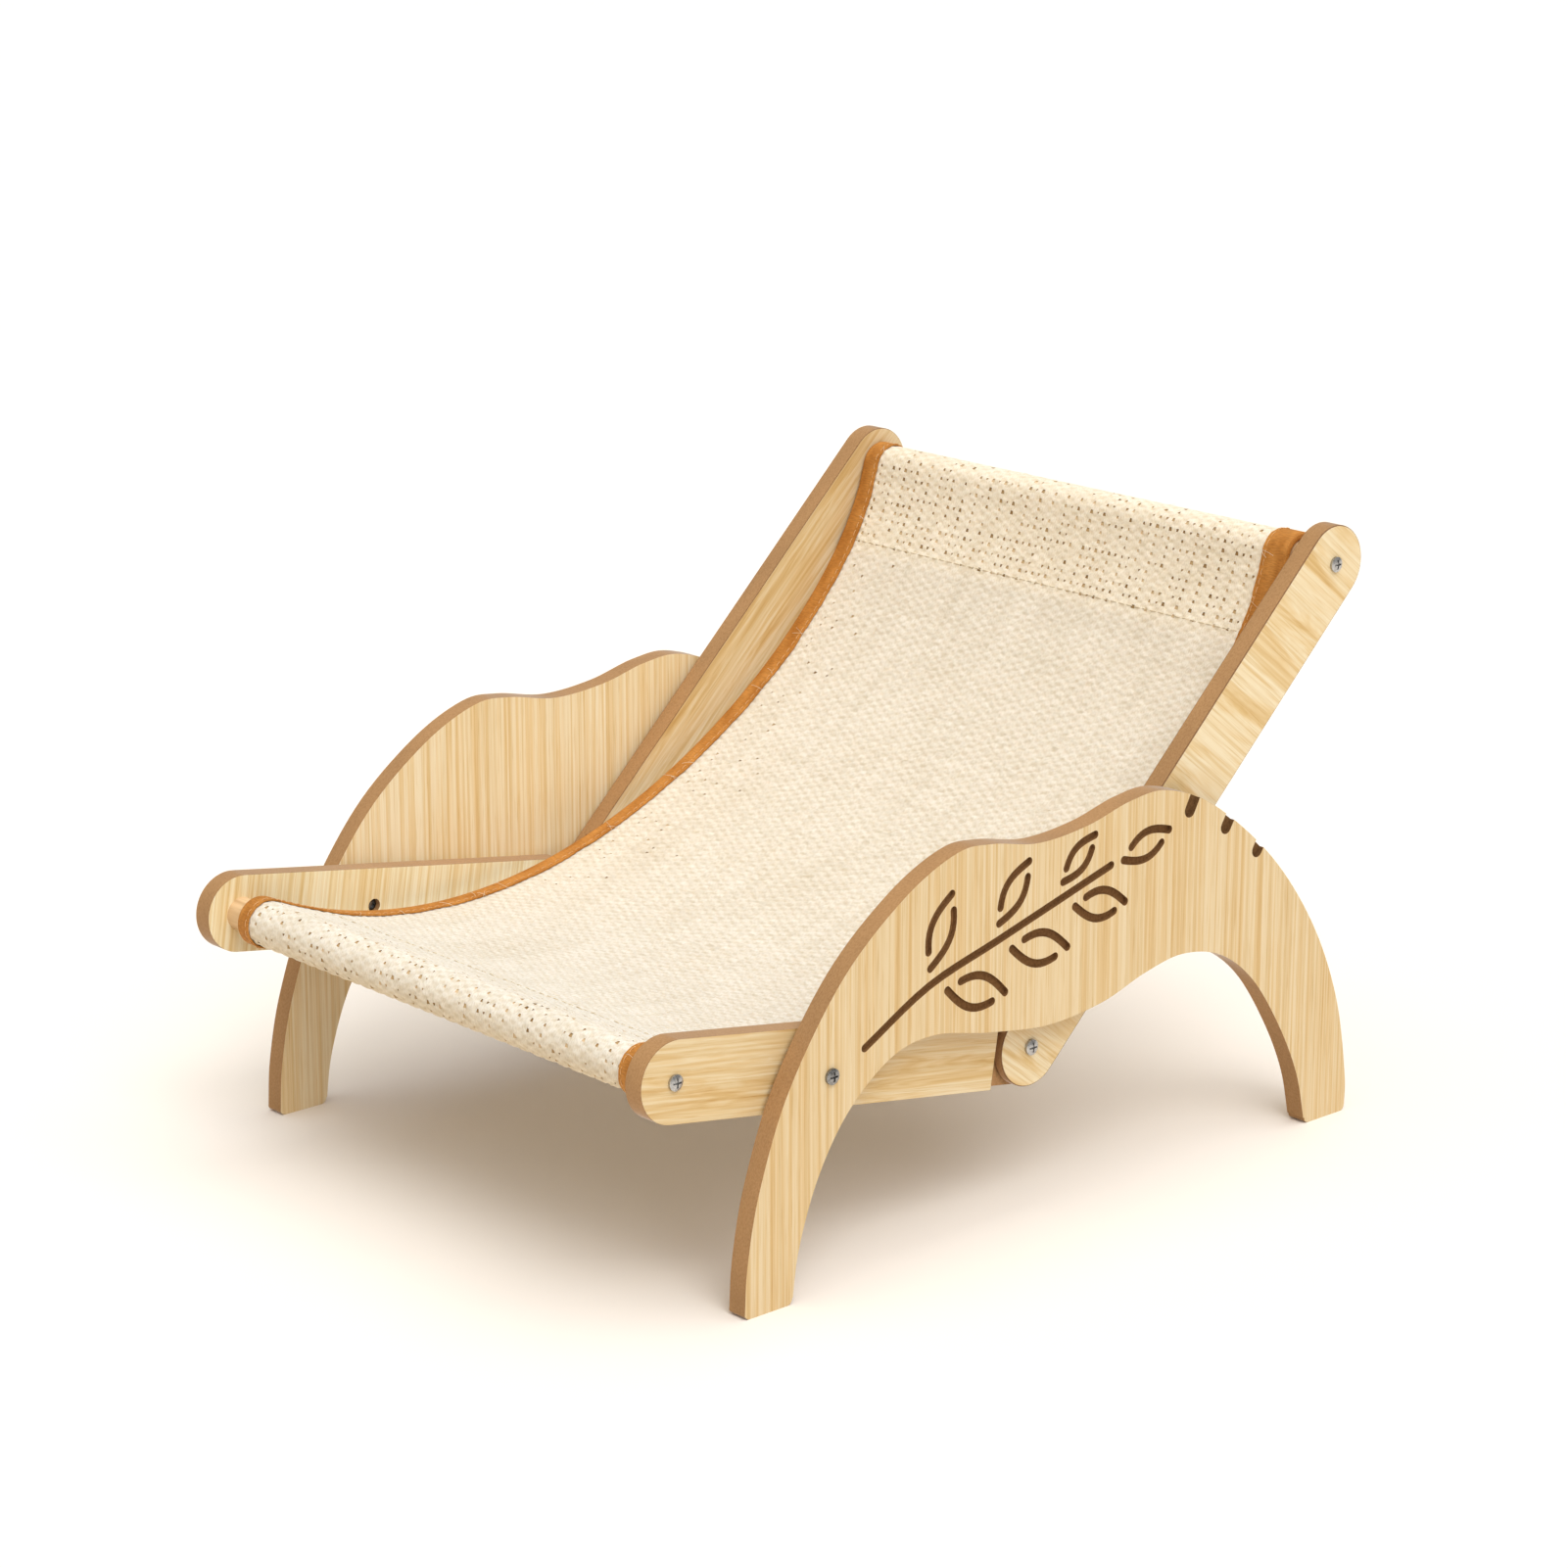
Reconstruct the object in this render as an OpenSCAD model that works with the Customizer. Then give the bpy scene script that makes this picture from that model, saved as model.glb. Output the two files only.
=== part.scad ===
// Reclining cat hammock: two arched side panels carry a seat frame on two pivot bolts.
// The backrest frame is hinged to the seat frame and leans on a rod in the panels' notches.
// X runs across, Y from front to back, Z up. The origin is on the floor, under the middle.

/* [Stand] */
// Width over the outer faces of the side panels
stand_w = 350; // [300:1:420]
// Length of a side panel from front foot to rear foot
panel_l = 390; // [360:1:430]
// Height of a side panel at its crest
panel_h = 188; // [178:1:205]
// Thickness of every board
board_t = 10.2; // [9:0.1:13]
// Radius of the corners of the feet
foot_r = 3; // [1:0.5:5]

/* [Notches] */
// Width of a notch for the support rod
notch_w = 5.9; // [5.7:0.1:7]
// Depth of a notch, cut into the panel's inner face
notch_depth = 6; // [5:0.5:7]
// Width of the mark engraved on the outer face over each notch
mark_w = 7; // [6:0.1:8]
// Diameter of the support rod
rod_d = 5.4; // [4.5:0.1:5.5]
// Length of the rod that lies in each side panel's notch
rod_grip = 4.5; // [3:0.5:5]

/* [Seat frame] */
// Pivot bolt's distance behind the front of the front foot
pivot_y = 50.2; // [46:0.1:56]
// Pivot bolt's height above the floor
pivot_z = 99.4; // [96:0.1:106]
// Fall of the seat rails towards the back, in degrees
seat_fall = 9.2; // [7:0.1:11]
// Distance from the pivot bolt forward to the front dowel
seat_front = 78.7; // [72:0.1:84]
// Distance from the pivot bolt back to the hinge
seat_rear = 136.5; // [130:0.1:142]
// Width of the seat and backrest rails
rail_w = 37.4; // [34:0.1:42]

/* [Backrest] */
// Distance from the hinge to the top dowel
back_l = 277.8; // [250:0.1:300]
// Length of the lap at the hinge, from the hinge bolt to each shoulder
lap_l = 22.5; // [22:0.1:26]

/* [Sling] */
// Diameter of the front and top dowels
dowel_d = 16; // [14:0.5:20]
// Bare length of dowel at each side of the sling
sling_side_gap = 8; // [7:0.5:20]
// Thickness of the woven sling
cloth_t = 2.2; // [1.6:0.1:2.8]
// Width of the binding tape on each face of the sling
tape_w = 9; // [5:0.5:12]
// Thickness of the binding tape
tape_t = 0.8; // [0.5:0.1:1]

/* [Fasteners] */
// Diameter of the screw and bolt heads
head_d = 7.4; // [6.5:0.1:8.5]
// Height of the screw and bolt heads
head_h = 2.1; // [1.6:0.1:2.6]
// Diameter of the dowel screws
screw_d = 3.6; // [3:0.1:4]
// Length of a dowel screw in the dowel
screw_bite = 22; // [15:1:30]
// Diameter of the hinge bolts
hinge_bolt_d = 4; // [3.5:0.1:4.5]
// Diameter of the pivot bolts
pivot_bolt_d = 5; // [4:0.1:5.5]

/* [Engraving] */
// Width of the engraved strokes
groove_w = 3.9; // [3:0.1:4.5]
// Depth of the engraved strokes
groove_depth = 2.4; // [1:0.1:4]

/* [Hidden] */
$fn = 96;

// Clearances
overrun = 1;
head_clear = 0.5;
washer_play = 0.1;
run_clear = 0.05;
fixed_clear = 0.05;
sleeve_gap = 0.4;
layer_gap = 0.4;
tape_fit = 0.05;
rod_gap = 0.3;

// Places across the width, on the right-hand side
panel_out_x = stand_w / 2;
panel_in_x = panel_out_x - board_t;
side_gap = head_h + head_clear;
rail_out_x = panel_in_x - side_gap;
rail_in_x = rail_out_x - board_t;
hinge_washer_t = 0.8;
lap_gap = hinge_washer_t + 2 * washer_play;
lap_t = (board_t - lap_gap) / 2;
lap_outer_x = rail_out_x - lap_t;
tongue_x = rail_in_x + lap_t;

// Places in the side view, as [y, z] from the front foot
rail_r = rail_w / 2;
dowel_r = dowel_d / 2;
pivot_at = [pivot_y, pivot_z];
seat_dir = [cos(seat_fall), -sin(seat_fall)];
front_at = pivot_at - seat_front * seat_dir;
hinge_at = pivot_at + seat_rear * seat_dir;

// The rod's three places, front notch first, as shares of the panel's length and height
notch_shares = [[0.7015, 0.930], [0.7655, 0.8614], [0.8223, 0.7777]];
// How far each notch leans back from upright, in degrees
notch_leans = [28, 32, 32];
notch_reach = 30;
set_notch = 1;
rod_at = panel_point(notch_shares[set_notch]);

// The backrest leans on the rod with its rear edge
rod_span = norm(rod_at - hinge_at);
back_angle = atan2(rod_at.y - hinge_at.y, rod_at.x - hinge_at.x) + asin(rail_r / rod_span);
rod_along = sqrt(rod_span * rod_span - rail_r * rail_r);
rod_seat_r = rod_d / 2 + 2 * rod_gap;
top_at = hinge_at + back_l * [cos(back_angle), sin(back_angle)];

// The origin lies midway between the front of the seat rails and the back of the backrest
middle_y = (front_at.x - rail_r + top_at.x + rail_r) / 2;

// Fasteners
recess_w = 0.9;
recess_share = 0.62;
recess_depth_share = 0.6;
crown_share = 0.45;
insert_r = pivot_bolt_d / 2 + 0.8;
insert_l = board_t - 1.4;
insert_sink = 3;
bolt_short = 4;
pivot_washer_r = 6;
hinge_washer_r = 7;
nut_barrel_r = hinge_bolt_d / 2 + 1;
nut_flange_r = 6;
nut_flange_t = 1.2;

// Side panel outline from the front foot over the crest to the rear foot,
// and the arch under it, as shares of the panel's length and height
panel_outer_shares = [
    [0, 0], [0.005, 0.138], [0.024, 0.314], [0.067, 0.529], [0.146, 0.755], [0.238, 0.907],
    [0.318, 0.981], [0.374, 0.981], [0.449, 0.952], [0.528, 0.962], [0.600, 0.995], [0.662, 0.997],
    [0.744, 0.926], [0.849, 0.750], [0.928, 0.540], [0.977, 0.322], [0.999, 0.106], [1, 0]
];
panel_arch_shares = [
    [0.0705, 0], [0.081, 0.133], [0.110, 0.293], [0.156, 0.431], [0.2205, 0.529], [0.287, 0.551],
    [0.372, 0.516], [0.469, 0.488], [0.559, 0.503], [0.631, 0.545], [0.695, 0.564], [0.7615, 0.532],
    [0.8205, 0.441], [0.872, 0.293], [0.908, 0.144], [0.9255, 0]
];
outline_steps = 8;
last_outer = panel_outer_shares[len(panel_outer_shares) - 1];
last_arch = panel_arch_shares[len(panel_arch_shares) - 1];
// Where each foot starts and ends, as shares of the panel's length
foot_spans = [[panel_outer_shares[0].x, panel_arch_shares[0].x], [last_arch.x, last_outer.x]];

// Engraved sprig: the points of the stem, and each leaf's start, as shares of the panel's length and height,
// with its direction in degrees and its length
stem_shares = [[0.179, 0.572], [0.277, 0.676], [0.385, 0.739], [0.487, 0.798], [0.569, 0.846]];
sprig_leaves = [
    [[0.279, 0.718], 68, 34], [[0.387, 0.780], 54, 31], [[0.490, 0.838], 42, 27], [[0.590, 0.850], 16, 31],
    [[0.306, 0.652], -14, 37], [[0.408, 0.708], -11, 36], [[0.510, 0.768], -8, 33]
];
// Half-width of a leaf as a share of its length, and where its two edges start and end along it
leaf_swell = 0.2;
leaf_edges = [[1, 0.2, 1], [-1, 0, 0.8]];
leaf_steps = 10;
stroke_steps = 5;
cap_steps = 8;

// Sling: how much steeper the cloth leaves the front dowel than the seat rails fall,
// and reaches the top dowel than the backrest leans, in degrees
leave_dip = 16.8;
reach_rise = 33.2;
leave_angle = seat_fall + leave_dip;
reach_angle = back_angle + reach_rise;
// Pull of the cloth's curve at its two ends, as shares of the distance between the dowels
leave_share = 0.44;
reach_share = 0.2;
// Where each sleeve's hem meets the sheet and where it ends, as shares of the sheet
front_hem_shares = [0.045, 0.070];
top_hem_shares = [0.905, 0.853];
// Angles round the dowels at which the sleeves' hems leave them
front_wrap_end = 282;
top_wrap_end = -52.5;
sheet_steps = 30;
wrap_steps = 18;
sling_half_w = rail_in_x - sling_side_gap;
wrap_r = dowel_r + sleeve_gap + tape_t + cloth_t / 2;
layer_pitch = cloth_t + 2 * tape_t + layer_gap;
sling_chord = norm(top_at - front_at);

// Colours of the materials
board_colour = "BurlyWood";
dowel_colour = "Tan";
sling_colour = "Cornsilk";
tape_colour = "Peru";
metal_colour = "Silver";
washer_colour = "WhiteSmoke";

// Points and curves in the side view
function panel_point(share) = [share.x * panel_l, share.y * panel_h];
function panel_points(shares) = [for (s = shares) panel_point(s)];
function before(p, i) = i > 0 ? p[i - 1] : 2 * p[0] - p[1];
function after(p, i) = i < len(p) - 1 ? p[i + 1] : 2 * p[i] - p[i - 1];
function smooth_at(a, b, c, d, t) =
    (2 * b + (c - a) * t + (2 * a - 5 * b + 4 * c - d) * t * t + (3 * b - a - 3 * c + d) * t * t * t) / 2;
function smooth(p, steps) = concat(
    [for (i = [0 : len(p) - 2]) for (k = [0 : steps - 1])
        smooth_at(before(p, i), p[i], p[i + 1], after(p, i + 1), k / steps)],
    [p[len(p) - 1]]);
function reversed(p) = [for (i = [len(p) - 1 : -1 : 0]) p[i]];
function unit(v) = v / norm(v);
function left_of(v) = [-v.y, v.x];
function normal_at(p, i) = left_of(unit(after(p, i) - before(p, i)));
function side_of(p, offset) = [for (i = [0 : len(p) - 1]) p[i] + offset * normal_at(p, i)];
function stroke(p, t) = concat(side_of(p, t / 2), reversed(side_of(p, -t / 2)));
function round_cap(centre, side, r) =
    [for (k = [1 : cap_steps - 1])
        centre + r * (cos(180 * k / cap_steps) * side - sin(180 * k / cap_steps) * left_of(side))];
function round_stroke(p, t) = concat(
    side_of(p, t / 2), round_cap(p[len(p) - 1], normal_at(p, len(p) - 1), t / 2),
    reversed(side_of(p, -t / 2)), round_cap(p[0], -normal_at(p, 0), t / 2));
function lengthened(p, by) = concat(
    [p[0] + by * unit(p[0] - p[1])], p,
    [p[len(p) - 1] + by * unit(p[len(p) - 1] - p[len(p) - 2])]);
function on_circle(centre, r, angle) = centre + r * [cos(angle), sin(angle)];
function leaf_at(leaf, side, t) =
    panel_point(leaf[0]) + leaf[2] * t * [cos(leaf[1]), sin(leaf[1])]
    + leaf[2] * side * leaf_swell * sin(180 * t) * [-sin(leaf[1]), cos(leaf[1])];
function leaf_edge(leaf, edge) =
    [for (k = [0 : leaf_steps]) leaf_at(leaf, edge[0], edge[1] + (edge[2] - edge[1]) * k / leaf_steps)];

// The sheet hangs in one smooth curve between the two dowels
sheet_start = on_circle(front_at, wrap_r, 90 - leave_angle);
sheet_end = on_circle(top_at, wrap_r, 90 + reach_angle);
sheet_pull = [
    sheet_start, sheet_start + leave_share * sling_chord * [cos(leave_angle), -sin(leave_angle)],
    sheet_end - reach_share * sling_chord * [cos(reach_angle), sin(reach_angle)], sheet_end
];
function sheet_at(t) =
    pow(1 - t, 3) * sheet_pull[0] + 3 * pow(1 - t, 2) * t * sheet_pull[1]
    + 3 * (1 - t) * t * t * sheet_pull[2] + pow(t, 3) * sheet_pull[3];
function sheet_dir(t) = unit(
    pow(1 - t, 2) * (sheet_pull[1] - sheet_pull[0]) + 2 * (1 - t) * t * (sheet_pull[2] - sheet_pull[1])
    + t * t * (sheet_pull[3] - sheet_pull[2]));
function hem_at(t) = sheet_at(t) - layer_pitch * left_of(sheet_dir(t));
hem_steps = 5;
function hem(shares) =
    [for (k = [0 : hem_steps]) hem_at(shares[0] + (shares[1] - shares[0]) * k / hem_steps)];
function wrap(centre, from, to) =
    [for (k = [1 : wrap_steps]) on_circle(centre, wrap_r, from + (to - from) * k / wrap_steps)];
cloth_path = concat(
    reversed(hem(front_hem_shares)),
    reversed(wrap(front_at, 90 - leave_angle, front_wrap_end)),
    [for (k = [0 : sheet_steps]) sheet_at(k / sheet_steps)],
    wrap(top_at, 90 + reach_angle, top_wrap_end),
    hem(top_hem_shares));

// Puts the side view's zero, at the front foot, in its place from the origin
module placed() {
    translate([0, -middle_y, 0]) children();
}

// A plate cut in the side view, from x towards +X
module plate(x, t) {
    translate([x, 0, 0]) rotate([90, 0, 90]) linear_extrude(t) children();
}

// A round bar along X
module bar(from_x, to_x, r) {
    translate([from_x, 0, 0]) rotate([0, 90, 0]) cylinder(h = to_x - from_x, r = r);
}

module at_side(p) {
    translate([0, p.x, p.y]) children();
}

module at_seat() {
    at_side(pivot_at) rotate([-seat_fall, 0, 0]) children();
}

module at_back() {
    at_side(hinge_at) rotate([back_angle, 0, 0]) children();
}

module both_sides() {
    children();
    mirror([1, 0, 0]) children();
}

// A rail's outline from one place along it to another, with either end round
module rail_outline(from, to, round_from, round_to) {
    translate([from, -rail_r]) square([to - from, rail_w]);
    if (round_from) translate([from, 0]) circle(rail_r);
    if (round_to) translate([to, 0]) circle(rail_r);
}

// Crowned head with a cross recess, its seat at x = 0 and its crown towards +X
module bolt_head() {
    crown_h = head_h * crown_share;
    difference() {
        union() {
            bar(0, head_h - crown_h, head_d / 2);
            translate([head_h - crown_h, 0, 0]) rotate([0, 90, 0]) rotate_extrude() intersection() {
                scale_r = (head_d * head_d / 4 + crown_h * crown_h) / (2 * crown_h);
                translate([0, crown_h - scale_r]) circle(scale_r);
                square([head_d / 2, crown_h]);
            }
        }
        for (turn = [0, 90]) rotate([turn, 0, 0])
            translate([head_h * (1 - recess_depth_share), -recess_w / 2, -head_d * recess_share / 2])
                cube([head_h, recess_w, head_d * recess_share]);
    }
}

// One engraved stroke with round ends, cut into the right-hand panel's outer face
module engraved_stroke(points) {
    plate(panel_out_x - groove_depth, groove_depth + overrun)
        polygon(round_stroke(points, groove_w));
}

// A slot with a round bottom, leaning back from upright
module notch_outline(lean, width) {
    polygon(round_stroke([[0, 0], notch_reach * [sin(lean), cos(lean)]], width));
}

// All that lies above the rounded corners of the feet
module above_feet() {
    translate([-panel_l, foot_r]) square([3 * panel_l, 2 * panel_h]);
    for (span = foot_spans) {
        from = span[0] * panel_l + foot_r;
        to = span[1] * panel_l - foot_r;
        translate([from, 0]) square([to - from, 2 * foot_r]);
        translate([from, foot_r]) circle(foot_r);
        translate([to, foot_r]) circle(foot_r);
    }
}

module side_panel() {
    color(board_colour) placed() difference() {
        plate(panel_in_x, board_t) intersection() {
            polygon(concat(
                smooth(panel_points(panel_outer_shares), outline_steps),
                reversed(smooth(panel_points(panel_arch_shares), outline_steps))));
            above_feet();
        }
        for (k = [0 : len(notch_shares) - 1]) at_side(panel_point(notch_shares[k])) {
            plate(panel_in_x - overrun, notch_depth + overrun) notch_outline(notch_leans[k], notch_w);
            plate(panel_out_x - groove_depth, groove_depth + overrun)
                notch_outline(notch_leans[k], mark_w);
        }
        at_side(pivot_at) bar(panel_in_x - overrun, panel_out_x + overrun, pivot_bolt_d / 2 + run_clear);
        engraved_stroke(smooth(panel_points(stem_shares), stroke_steps));
        for (leaf = sprig_leaves) for (edge = leaf_edges)
            engraved_stroke(leaf_edge(leaf, edge));
    }
}

module support_rod() {
    half_l = panel_in_x + rod_grip;
    color(dowel_colour) placed() at_side(rod_at) bar(-half_l, half_l, rod_d / 2);
}

module seat_rail() {
    color(board_colour) placed() at_seat() difference() {
        union() {
            plate(rail_in_x, board_t) rail_outline(-seat_front, seat_rear - lap_l, true, false);
            plate(rail_in_x, lap_t) rail_outline(seat_rear - lap_l - overrun, seat_rear, false, true);
        }
        at_side([-seat_front, 0]) bar(rail_in_x - overrun, rail_out_x + overrun, screw_d / 2 + fixed_clear);
        bar(rail_in_x - overrun, rail_out_x + overrun, pivot_bolt_d / 2 + fixed_clear);
        bar(rail_in_x - overrun, rail_in_x + insert_l + fixed_clear, insert_r + fixed_clear);
        at_side([seat_rear, 0]) bar(rail_in_x - overrun, tongue_x + overrun, nut_barrel_r + fixed_clear);
    }
}

module back_rail() {
    color(board_colour) placed() at_back() difference() {
        union() {
            plate(lap_outer_x, lap_t) rail_outline(0, lap_l + overrun, true, false);
            plate(rail_in_x, board_t) rail_outline(lap_l, back_l, false, true);
        }
        at_side([0, 0]) bar(lap_outer_x - overrun, rail_out_x + overrun, hinge_bolt_d / 2 + run_clear);
        at_side([back_l, 0]) bar(rail_in_x - overrun, rail_out_x + overrun, screw_d / 2 + fixed_clear);
        at_side([rod_along - rod_gap, -rail_r]) bar(rail_in_x - overrun, rail_out_x + overrun, rod_seat_r);
    }
}

module dowel(p) {
    color(dowel_colour) placed() at_side(p) difference() {
        bar(-rail_in_x, rail_in_x, dowel_r);
        both_sides()
            bar(rail_in_x - screw_bite - fixed_clear, rail_in_x + overrun, screw_d / 2 + fixed_clear);
    }
}

module dowel_screws(p) {
    color(metal_colour) placed() both_sides() at_side(p) {
        bar(rail_in_x - screw_bite, rail_out_x + overrun / 2, screw_d / 2);
        translate([rail_out_x, 0, 0]) bolt_head();
    }
}

module pivot_bolts() {
    color(metal_colour) placed() both_sides() at_side(pivot_at) {
        bar(rail_in_x + bolt_short, panel_out_x + washer_play + overrun / 2, pivot_bolt_d / 2);
        translate([panel_out_x + washer_play, 0, 0]) bolt_head();
    }
}

module pivot_inserts() {
    color(metal_colour) placed() both_sides() at_side(pivot_at) difference() {
        bar(rail_in_x + insert_sink, rail_in_x + insert_l, insert_r);
        bar(rail_in_x - overrun, rail_out_x, pivot_bolt_d / 2 + fixed_clear);
    }
}

module pivot_washers() {
    color(washer_colour) placed() both_sides() at_side(pivot_at) difference() {
        bar(rail_out_x, panel_in_x - washer_play, pivot_washer_r);
        bar(rail_out_x - overrun, panel_in_x + overrun, pivot_bolt_d / 2 + fixed_clear);
    }
}

module hinge_bolts() {
    color(metal_colour) placed() both_sides() at_side(hinge_at) {
        bar(rail_in_x, rail_out_x + washer_play + overrun / 2, hinge_bolt_d / 2);
        translate([rail_out_x + washer_play, 0, 0]) bolt_head();
    }
}

module hinge_nuts() {
    color(metal_colour) placed() both_sides() at_side(hinge_at) difference() {
        union() {
            bar(rail_in_x - nut_flange_t, rail_in_x, nut_flange_r);
            bar(rail_in_x - nut_flange_t, tongue_x, nut_barrel_r);
        }
        bar(rail_in_x - nut_flange_t - overrun, tongue_x + overrun, hinge_bolt_d / 2 + fixed_clear);
    }
}

module hinge_washers() {
    color(washer_colour) placed() both_sides() at_side(hinge_at) difference() {
        bar(tongue_x, tongue_x + hinge_washer_t, hinge_washer_r);
        bar(tongue_x - overrun, lap_outer_x + overrun, hinge_bolt_d / 2 + fixed_clear);
    }
}

module sling() {
    color(sling_colour) placed() plate(-sling_half_w, 2 * sling_half_w) polygon(stroke(cloth_path, cloth_t));
}

module binding() {
    color(tape_colour) placed() difference() {
        plate(sling_half_w - tape_w, tape_w + tape_fit + tape_t)
            polygon(stroke(cloth_path, cloth_t + 2 * tape_fit + 2 * tape_t));
        plate(sling_half_w - tape_w - overrun, tape_w + tape_fit + overrun)
            polygon(stroke(lengthened(cloth_path, overrun), cloth_t + 2 * tape_fit));
    }
}

side_panel();  // side_panel_right
mirror([1, 0, 0]) side_panel();  // side_panel_left
support_rod();
seat_rail();  // seat_rail_right
mirror([1, 0, 0]) seat_rail();  // seat_rail_left
dowel(front_at);  // front_dowel
dowel_screws(front_at);  // front_dowel_screws
pivot_bolts();
pivot_inserts();
pivot_washers();
back_rail();  // back_rail_right
mirror([1, 0, 0]) back_rail();  // back_rail_left
dowel(top_at);  // top_dowel
dowel_screws(top_at);  // top_dowel_screws
hinge_bolts();
hinge_nuts();
hinge_washers();
sling();
binding();  // binding_right
mirror([1, 0, 0]) binding();  // binding_left
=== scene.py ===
# %% [markdown]
# # A reclining cat hammock
# The object is a low lounger for a cat. Two arched side panels stand on the floor, a seat frame pivots
# between them, and a backrest frame is hinged to the seat. A sling of woven sisal hangs from a dowel at
# the front to a dowel at the top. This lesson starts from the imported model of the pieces, which fixes
# every size and place, and gives each piece its finish.

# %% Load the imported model
import math
import random

import bpy
import numpy as np
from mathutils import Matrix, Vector


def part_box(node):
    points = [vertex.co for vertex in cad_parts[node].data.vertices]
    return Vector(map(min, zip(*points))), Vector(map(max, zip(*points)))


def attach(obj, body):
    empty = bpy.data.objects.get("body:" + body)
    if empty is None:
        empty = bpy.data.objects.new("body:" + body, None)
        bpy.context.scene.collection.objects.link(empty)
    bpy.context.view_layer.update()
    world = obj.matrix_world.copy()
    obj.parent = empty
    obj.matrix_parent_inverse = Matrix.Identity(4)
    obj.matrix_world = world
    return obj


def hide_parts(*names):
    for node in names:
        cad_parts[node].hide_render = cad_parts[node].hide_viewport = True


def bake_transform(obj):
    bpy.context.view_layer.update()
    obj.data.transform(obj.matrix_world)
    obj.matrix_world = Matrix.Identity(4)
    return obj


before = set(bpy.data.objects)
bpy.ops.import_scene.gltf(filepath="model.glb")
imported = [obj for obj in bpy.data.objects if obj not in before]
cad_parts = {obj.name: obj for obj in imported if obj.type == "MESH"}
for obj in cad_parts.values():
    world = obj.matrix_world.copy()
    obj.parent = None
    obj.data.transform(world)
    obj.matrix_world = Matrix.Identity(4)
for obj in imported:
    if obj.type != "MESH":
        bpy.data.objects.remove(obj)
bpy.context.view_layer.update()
# A millimetre, in metres
MM = 0.001

# %% [markdown]
# ## Camera
# The camera comes first, because every comparison with the photograph depends on it. It could be placed
# by eye, but a lens, a distance and two angles that were solved from known corners of the object repeat
# the photograph's view exactly enough to lay one picture over the other.

# %% Place the camera
CAMERA_TURN = math.radians(47.97)
CAMERA_RISE = math.radians(15.97)
CAMERA_DISTANCE = 1.9857
CAMERA_AIM = Vector((0.0389, -0.0329, 0.1830))
CAMERA_LENS = 98.72
SENSOR_WIDTH = 36.0

bpy.ops.object.select_all(action="DESELECT")
towards_camera = Vector((
    math.sin(CAMERA_TURN) * math.cos(CAMERA_RISE),
    -math.cos(CAMERA_TURN) * math.cos(CAMERA_RISE),
    math.sin(CAMERA_RISE),
))
bpy.ops.object.camera_add(
    location=CAMERA_AIM + CAMERA_DISTANCE * towards_camera,
    rotation=(-towards_camera).to_track_quat("-Z", "Y").to_euler(),
)
camera = bpy.context.object
camera.name = "photo_camera"
camera.data.lens = CAMERA_LENS
camera.data.sensor_width = SENSOR_WIDTH
bpy.context.scene.camera = camera
print("camera at", [round(v, 3) for v in camera.location])

# %% [markdown]
# ## Stage and light
# The object stands on a plain pale floor. Three very wide sun lamps stand in for the softboxes of a studio:
# one overhead, one from the right and a weak one from the left. Area lights would do it too, but a wide sun
# lights the floor evenly out to the horizon, and its width keeps the shadows soft.

# %% Floor
FLOOR_SIZE = 180.0
FLOOR_CREAM = (0.90, 0.845, 0.78, 1)
FLOOR_ROUGHNESS = 0.9
FLOOR_SPECULAR = 0.1
bpy.ops.object.select_all(action="DESELECT")
bpy.ops.mesh.primitive_plane_add(size=FLOOR_SIZE, location=(0, 0, 0))
floor = bpy.context.object
floor.name = "floor"
floor_paint = bpy.data.materials.new("floor_paint")
floor_paint.use_nodes = True
floor_shader = floor_paint.node_tree.nodes["Principled BSDF"]
floor_shader.inputs["Base Color"].default_value = FLOOR_CREAM
floor_shader.inputs["Roughness"].default_value = FLOOR_ROUGHNESS
floor_shader.inputs["Specular IOR Level"].default_value = FLOOR_SPECULAR
floor.data.materials.append(floor_paint)
print("floor:", FLOOR_SIZE, "m square")

# %% World and lamps
WORLD_WHITE = (1.0, 0.96, 0.90, 1)
WORLD_STRENGTH = 0.40
# Where each lamp shines from, how strongly, and how wide it is, in degrees
SOFT_SUNS = {
    "overhead": {"from": (0.20, 0.05, 1.00), "strength": 2.1, "spread": 70},
    "key": {"from": (0.90, -0.38, 0.95), "strength": 1.25, "spread": 40},
    "fill": {"from": (-0.50, -0.90, 0.60), "strength": 0.1, "spread": 60},
}
world = bpy.data.worlds.new("studio")
bpy.context.scene.world = world
world.use_nodes = True
background = world.node_tree.nodes["Background"]
background.inputs["Color"].default_value = WORLD_WHITE
background.inputs["Strength"].default_value = WORLD_STRENGTH
for name, lamp in SOFT_SUNS.items():
    bpy.ops.object.light_add(
        type="SUN", location=lamp["from"],
        rotation=(-Vector(lamp["from"])).to_track_quat("-Z", "Y").to_euler(),
    )
    light = bpy.context.object
    light.name = name + "_light"
    light.data.energy = lamp["strength"]
    light.data.angle = math.radians(lamp["spread"])
bpy.context.scene.view_settings.view_transform = "Standard"
print("lamps:", ", ".join(SOFT_SUNS))

# %% [markdown]
# ## Helpers for materials
# A finish is a small network of nodes: a pattern, a ramp that turns the pattern into colours, and a shader.
# The nodes could be joined by hand in the shader editor. Small helpers that start a material and add a
# stretched noise, a ramp, a darkening or a relief let each finish read as a few lines instead.

# %% Helpers for materials
def start_material(name, roughness, specular):
    """A new material with its nodes, its links and its shader."""
    material = bpy.data.materials.new(name)
    material.use_nodes = True
    tree = material.node_tree
    shader = tree.nodes["Principled BSDF"]
    shader.inputs["Roughness"].default_value = roughness
    shader.inputs["Specular IOR Level"].default_value = specular
    return material, tree, shader


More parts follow.
